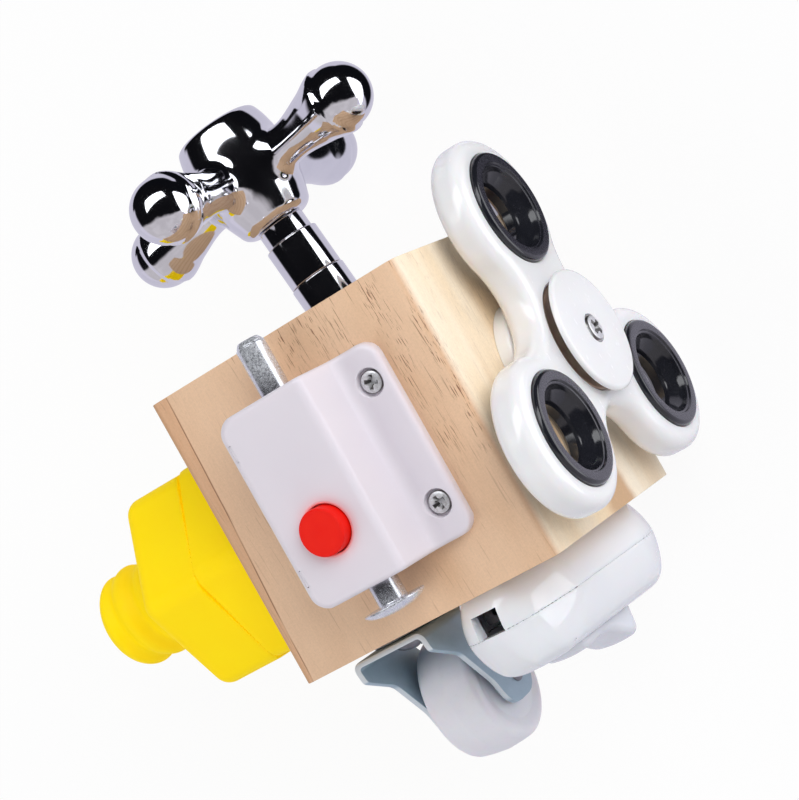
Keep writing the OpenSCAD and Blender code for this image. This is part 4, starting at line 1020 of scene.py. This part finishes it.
def yellow_plastic():
    f = Finish("yellow_plastic", Specular_IOR_Level=0.1, Emission_Strength=0.15)
    cloud = f.noise(10, 3.0)
    orange_peel = f.noise(0.55, 3.0, 0.6)
    spark = f.noise(0.16)
    scuff = f.wear(6)
    colour = f.mix(cloud, (255, 218, 0), (255, 226, 0))
    colour = f.mix(scuff * 0.16, colour, (255, 236, 70))
    # Painted light: the yellow gives off a little light of its own, a glow though it is no lamp
    painted_glow = f.mix(cloud, (255, 214, 0), (255, 222, 0))
    return f.skin(colour, 0.5 + orange_peel * 0.16 + scuff * 0.08, orange_peel * 0.8 + spark * 0.4,
                  0.2, 0.0001, Emission_Color=painted_glow)


yellow = yellow_plastic()
toy_bolt = skin("toy_bolt_moulding", toy_bolt_shape, (-24, -21, -0.2), (24, 21, STUD_L), 0.5,
                ON_TOY)
cut(toy_bolt, ON_TOY, rod(4.05, -1, 11, 48))
finish(toy_bolt, yellow, "toy_bolt", angle=50)
dowel_steel = plated_steel("dowel_steel", (176, 174, 168), (120, 117, 112), 0.35, (0.1, 1, 1))
from_cad("toy_bolt_dowel", "hidden_dowel", dowel_steel, "screw_steel", 0.5)

# Toy nut
# A loose six-sided nut of the same yellow, its outer edges rounded for small hands.
# A plain bore with chamfers clears the bolt's thread.
NUT_FOOT, NUT_TOP, NUT_EDGE, NUT_HOLE = 14.6, 29.9, 3.3, STUD_R + 0.3


def toy_nut_shape(x, y, z):
    return round_most(round_most(hexagon(x, y), z - NUT_TOP, NUT_EDGE), NUT_FOOT - z, 0.15)


toy_nut = skin("toy_nut_moulding", toy_nut_shape, (-24, -21, NUT_FOOT), (24, 21, NUT_TOP), 0.5,
               ON_TOY)
cut(toy_nut, ON_TOY, lathe([
    (0, NUT_FOOT - 1), (11.6, NUT_FOOT - 1), (NUT_HOLE, NUT_FOOT + 0.8), (NUT_HOLE, NUT_TOP - 0.9),
    (NUT_HOLE + 1, NUT_TOP + 0.1), (0, NUT_TOP + 0.1)], 96))
finish(toy_nut, yellow, "toy_nut", "toy_nut", 50)

# Caster
# A small plate caster: a fork bent from zinc-plated sheet turns on a screw and a
# washer. A riveted axle carries a nylon wheel.


def zinc_sheet():
    f = Finish("zinc_sheet", Metallic=0.45)
    cloud = f.noise(3.5, 4.0, 0.6)
    rolled = f.streaks(0.25, (1, 0.08, 1), 3.0, 0.6)
    spots = f.noise(0.8, 4.0, 0.7).rise(0.58, 0.72)
    colour = f.mix(cloud, (148, 170, 184), (174, 194, 206))
    colour = f.mix(spots * 0.35, colour, (186, 200, 208))
    # The sheet's edges that face up along +Z are painted much paler than its faces: a painted
    # highlight
    colour = f.mix(f.parts(f.normal)[2].rise(0.55, 0.9) * 0.8, colour, (238, 244, 248))
    return f.skin(colour, 0.33 + cloud * 0.15 + spots * 0.1, rolled + spots * 0.4, 0.15, 0.00004)


zinc = zinc_sheet()
from_cad("caster_fork", "bent_fork", zinc, "zinc_sheet", 0.28, 30, 3, body="caster_fork")
from_cad("caster_washer", "swivel_washer", zinc, "zinc_sheet", 0.2, 30, 3)
from_cad("caster_screw", "swivel_screw", shaft_steel, "screw_steel", 0.15)
CASTER_X, CASTER_Z, TRAIL, AXLE_DEEP, FORK_W = -16.8, 39.0, 13.4, 18.3, 17.2
ON_AXLE = (shift(0, -HALF, 0) @ spin(90, "X") @ shift(CASTER_X, CASTER_Z - TRAIL, AXLE_DEEP)
           @ spin(90, "Y"))
FORK_SIDE = -FORK_W / 2
turned("riveted_axle", both_ways([
    (0, FORK_SIDE - 1), (1.5, FORK_SIDE - 0.85, 0.7), (2.5, FORK_SIDE - 0.2, 0.3),
    (2.5, FORK_SIDE, 0.1), (1.5, FORK_SIDE)]),
    64, ON_AXLE, shaft_steel, "caster_axle", "caster_fork")


def nylon():
    f = Finish("wheel_nylon", Subsurface_Weight=0.25, Subsurface_Scale=0.003)
    cloud = f.noise(6, 3.0)
    peel = f.noise(0.5, 3.0)
    scuff = f.wear(5)
    colour = f.mix(cloud, (226, 226, 235), (236, 236, 242))
    colour = f.mix(scuff * 0.3, colour, (196, 194, 200))
    return f.skin(colour, 0.26 + peel * 0.1 + scuff * 0.2, peel, 0.1, 0.00006)


WHEEL_R, HUB_SIDE, RIM_SIDE = 13.5, -7.1, -6.15
turned("caster_roller", both_ways([
    (1.58, HUB_SIDE), (3.9, HUB_SIDE, 0.3), (4.4, HUB_SIDE + 0.6, 0.3),
    (WHEEL_R * 0.68, RIM_SIDE + 0.3, 0.8), (WHEEL_R - 2.7, RIM_SIDE, 0.5),
    (WHEEL_R - 0.75, RIM_SIDE, 1.6), (WHEEL_R - 0.28, HUB_SIDE * 0.42, 2.0), (WHEEL_R, 0, 3.0)]),
    128, ON_AXLE, nylon(), "caster_wheel", "caster_wheel")

# Rocker switch
# A lamp cord's inline switch: two glossy white shells that meet at a parting line
# halfway up, with a window for the cord at each end, screwed to the wood.
SWITCH_W, SWITCH_L, SPLIT, SWITCH_H = 12.1, 28.5, 7.9, 17.5
SHELL, SLANT_RUN, SLANT_CUT = 1.6, 8.5, 6.8
ON_SWITCH = shift(0, -HALF, 0) @ spin(90, "X") @ shift(12.3, 29.6, 0) @ spin(7.0, "Z")
LOWER_INSET = np.polyfit([0, 1.6, 3.6, 5.4, 7.9], [2.6, 1.75, 0.85, 0.35, 0.0], 3)
UPPER_INSET = np.polyfit([7.9, 10, 12.4, 14.6, 16.4, 17.5], [0.0, 0.3, 1.0, 2.1, 3.5, 4.8], 4)


def switch_plan(x, y):
    """Distance to the switch's long octagon, its corners softened."""
    a, b = np.abs(x) - SWITCH_W, np.abs(y) - SWITCH_L
    slant = (a * SLANT_RUN + (b + SLANT_RUN) * SLANT_CUT) / math.hypot(SLANT_RUN, SLANT_CUT)
    return round_most(round_most(a, slant, 5.0), b, 3.5)


def base_shape(x, y, z):
    plan = switch_plan(x, y)
    side = (plan + np.polyval(LOWER_INSET, np.clip(z, 0, SPLIT))) * 0.93
    room = np.maximum(plan + SHELL + 2.2, SHELL - z)
    return np.maximum(np.maximum(round_most(side, z - SPLIT, 0.1), -z), -room)


def cover_shape(x, y, z):
    plan = switch_plan(x, y)
    side = (plan + np.polyval(UPPER_INSET, np.clip(z, SPLIT, SWITCH_H))) * 0.86
    room = np.maximum(plan + SHELL + 2.2, z - SWITCH_H + SHELL)
    outside = round_most(round_most(side, z - SWITCH_H, 2.2), SPLIT + 0.03 - z, 0.1)
    return np.maximum(outside, -room)


def switch_white(name, low, high):
    f = Finish(name, Specular_IOR_Level=0.55, Subsurface_Weight=0.12, Subsurface_Scale=0.0015)
    flow = f.noise(12)
    ripple = f.noise(4.0)
    hair = f.streaks(0.45, (0.3, 1, 0.15), 4.0, 0.7).rise(0.61, 0.7)
    colour = f.mix(hair * 0.12, f.mix(flow, low, high), (208, 207, 210))
    return f.skin(colour, 0.07 + hair * 0.2 + flow * 0.04, ripple + hair * 0.1, 0.06, 0.0001,
                  Coat_Weight=0.25)


white_switch = switch_white("switch_gloss", (235, 237, 243), (241, 243, 247))
WINDOW_W, WINDOW_FOOT, WINDOW_STEP = 3.05, SPLIT - 4.5, 0.6
SHELL_SCREWS = [(0, -14.25), (0, 14.25)]


def end_boxes(w, foot, far):
    """A box through the wall at each end of the switch."""
    return [box(-w, low, foot, w, high, 9) for low, high in ((20, far), (-far, -20))]


base = skin("switch_lower_shell", base_shape, (-SWITCH_W, -SWITCH_L, 0),
            (SWITCH_W, SWITCH_L, SPLIT), 0.36, ON_SWITCH, 4)
cut(base, ON_SWITCH, *end_boxes(WINDOW_W, WINDOW_FOOT, 32))
# Round each window the wall steps back on the inside, most where it leans least
cut(base, ON_SWITCH, *end_boxes(WINDOW_W + WINDOW_STEP, 4.8, 27.0))
cut(base, ON_SWITCH, *end_boxes(WINDOW_W + WINDOW_STEP, WINDOW_FOOT - 0.4, 26.3),
    *[moved(rod(1.4, -1, 3, 32), shift(*at)) for at in SHELL_SCREWS])
finish(base, white_switch, "switch_base", angle=34)
ROCKER_L, ROCKER_W, ROCKER_TILT, PIVOT_DEEP, GAP = 12.0, 5.25, 12.0, 5.0, 0.5
level, rising = on_arc(1, ROCKER_TILT)
OPEN_W, OPEN_L = ROCKER_W + GAP, ROCKER_L * level + PIVOT_DEEP * rising + GAP
OPEN_R = ROCKER_W * 0.84
opening = [on_arc(OPEN_R, first + 90 * k / 8, sx * (OPEN_W - OPEN_R), sy * (OPEN_L - OPEN_R))
           for sx, sy, first in ((1, 1, 0), (-1, 1, 90), (-1, -1, 180), (1, -1, 270))
           for k in range(9)]
cover = skin("switch_upper_shell", cover_shape, (-SWITCH_W, -SWITCH_L, SPLIT),
             (SWITCH_W, SWITCH_L, SWITCH_H), 0.36, ON_SWITCH, 4)
cut(cover, ON_SWITCH, prism(*[[(x, y, z) for x, y in opening] for z in (SPLIT + 1, SWITCH_H + 1)]))
finish(cover, white_switch, "switch_cover", angle=34)

# Rocker
# The oval rocker of the same white plastic, hollowed a little between its two humps,
# turns on a steel pin that lies across the cover.
ON_ROCKER = ON_SWITCH @ shift(z=SWITCH_H - PIVOT_DEEP) @ spin(-ROCKER_TILT, "X")


def rocker_shape(x, y, z):
    top = 7.15 + 0.05055 * y ** 2 - 0.0003607 * y ** 4 - x ** 2 * 0.02
    lower = (-z - 2.6 + np.maximum(np.abs(y) - 4, 0) * 0.575) * 0.87
    plan = rounded_plan(x, y, -ROCKER_W, -ROCKER_L, ROCKER_W, ROCKER_L, 4.2)
    return np.maximum(round_most(plan, (z - top) * 0.92, 1.3), lower)


rocker = skin("switch_paddle", rocker_shape, (-ROCKER_W, -ROCKER_L, -2.6), (ROCKER_W, ROCKER_L, 9),
              0.3, ON_ROCKER)
cut(rocker, ON_ROCKER, moved(rod(1.28, -8, 8, 32), spin(90, "Y")))
# The rocker's white is a darker copy of the shell's: painted shade
finish(rocker, switch_white("rocker_gloss", (219, 221, 230), (226, 228, 236)), "switch_rocker",
       "rocker", 34)
from_cad("switch_rocker_pin", "rocker_pin", shaft_steel, "screw_steel", 0.15)

# Inside of the switch
# Brass contact strips and cast terminal blocks; one block shows in the cord's window.
# Two short screws hold the shell to the wood.
brass = warm_metal("contact_brass", 1.5, (198, 158, 84), (160, 118, 60), 0.3, 0.2, 0.2,
                   (1, 1, 0.08), 0.12)
from_cad("switch_contacts", "contact_strips", brass, "contact_brass", 0.1)
terminal_cast = plated_steel("terminal_cast", (150, 148, 150), (86, 84, 88), 0.38)
from_cad("switch_terminals", "terminal_blocks", terminal_cast, "terminal_zinc", 0.25)
drive("shell_screws", cross_screw(2.3, 1.6, 1.3, 10.3), [(*at, SHELL) for at in SHELL_SCREWS],
      ON_SWITCH, 3, 1.5, "switch_screws")

# Floor, backdrop and light
# A white sweep lies just under the spinner's lowest lobe, and three soft boxes light the
# cube. What the chrome mirrors is painted on the floor and on a room only mirrors see.


def seen_by(tree, *rays):
    """1 for these kinds of rays and 0 for all others."""
    paths = tree.nodes.new("ShaderNodeLightPath").outputs
    wire = Wire(tree, paths["Is %s Ray" % rays[0]])
    for ray in rays[1:]:
        wire = wire.most(paths["Is %s Ray" % ray])
    return wire


def staged(made, material):
    made.data.materials.append(material)
    return made


def white_sweep():
    """Pale matt paper that keeps shadows and shows near white to the camera."""
    f = Finish("white_sweep", Roughness=0.95, Specular_IOR_Level=0.0)
    mirrored = seen_by(f.tree, "Glossy")
    f.done(Base_Color=f.mix(f.noise(60), (246, 246, 248), (248, 248, 250)))
    # The chrome sees the lit middle of the table, black round it and a window
    middle = f.x.rise(46, 36).most(f.y.rise(24, 8)) * (f.y + f.x.least(0.0) * 0.45).rise(158, 138)
    card = f.x.rise(108, 118) * (abs(f.y) - f.x * 0.62).rise(4, -4)
    tone = f.mix(middle, (14, 15, 19), (212, 209, 224))
    tone = f.shade(f.mix(card, tone, (246, 247, 252)), 1.0 + card * 1.6)
    light = node_of(f.tree, "ShaderNodeEmission", {"Color": f.mix(mirrored, (255, 255, 255), tone)})
    share = (seen_by(f.tree, "Camera", "Transmission") * 0.92).most(mirrored)
    both = node_of(f.tree, "ShaderNodeMixShader", {0: share, 1: f.shader, 2: light})
    feed(f.tree.nodes["Material Output"], {"Surface": both})
    return f.material


FLOOR, FLOOR_REACH, ROOM_R = -8.9, 4000, 2200.0
staged(object_from("floor", [(x * FLOOR_REACH, y * FLOOR_REACH, FLOOR) for x, y in (
    (-1, -1), (1, -1), (1, 1), (-1, 1))], [(0, 1, 2, 3)]), white_sweep())
bpy.context.scene.view_settings.view_transform = "Standard"
world = bpy.data.worlds.new("studio")
bpy.context.scene.world = world
world.use_nodes = True
unlit = seen_by(world.node_tree, "Camera", "Glossy", "Transmission")
feed(world.node_tree.nodes["Background"], {
    "Color": (0.96, 0.97, 1.0, 1), "Strength": 0.3 + unlit * 0.68})


def room_paint():
    """Black round the camera, a window behind, a window on the right, pale left side."""
    f = Finish("mirrored_room", Base_Color=(0.0, 0.0, 0.0, 1), Roughness=1.0,
               Specular_IOR_Level=0.0, Emission_Strength=1.0)
    x, y, high = f.x / ROOM_R, f.y / ROOM_R, f.z / ROOM_R
    a, b = x / high, y / high
    back = ((a.rise(-0.5, -0.44) * a.rise(1.56, 1.48) * (b - a * 0.44).rise(0.46, 0.5))
            * (b - a * 0.6).rise(1.45, 1.36))
    right = x.rise(0.78, 0.81) * abs(y).rise(0.52, 0.48) * high.rise(0.44, 0.4)
    left = (-x).rise(0.7, 0.8) * y.rise(0.5, 0.4)
    patchy = f.noise(520, 2.0, 0.4).rise(0.35, 0.7)
    near = (b + a.most(0.0) * 0.45 + (patchy - 0.5) * 0.08).rise(-0.14, -0.4)
    tone = f.mix(near * (0.72 + patchy * 0.1), (15, 15, 18), (232, 227, 232))
    tone = f.mix(left * 0.9, tone, (222, 218, 234))
    tone = f.mix(back.most(right), tone, (250, 252, 255))
    return f.done(Emission_Color=f.shade(tone, 1.0 + back * 2.6 + right * 1.8))


# The lathe joins the last point to the first: a cone inside the dome shows in the mirrors
dome = [on_arc(ROOM_R, a) for a in range(0, 90, 5)] + [(0, ROOM_R)]
room = staged(object_from("mirrored_room", *lathe(dome, 48)), room_paint())
for ray in ("camera", "diffuse", "shadow", "transmission", "volume_scatter"):
    setattr(room, "visible_" + ray, False)

for label, spot, size, tall, power in (("right_box", (0.8, 0.4, 0.58), 0.9, 0.9, 8.4),
                                       ("left_box", (-0.72, -0.05, 0.8), 0.9, 1.0, 4.8),
                                       ("low_box", (0.1, -0.95, 0.32), 1.0, 0.8, 1.9)):
    lamp = bpy.data.lights.new(label, "AREA")
    lamp.shape, lamp.size, lamp.size_y, lamp.energy = "RECTANGLE", size, tall, power
    made = new_object(label, lamp)
    made.location = spot
    made.rotation_euler = (-Vector(spot)).to_track_quat("-Z", "Y").to_euler()
    made.visible_glossy = False
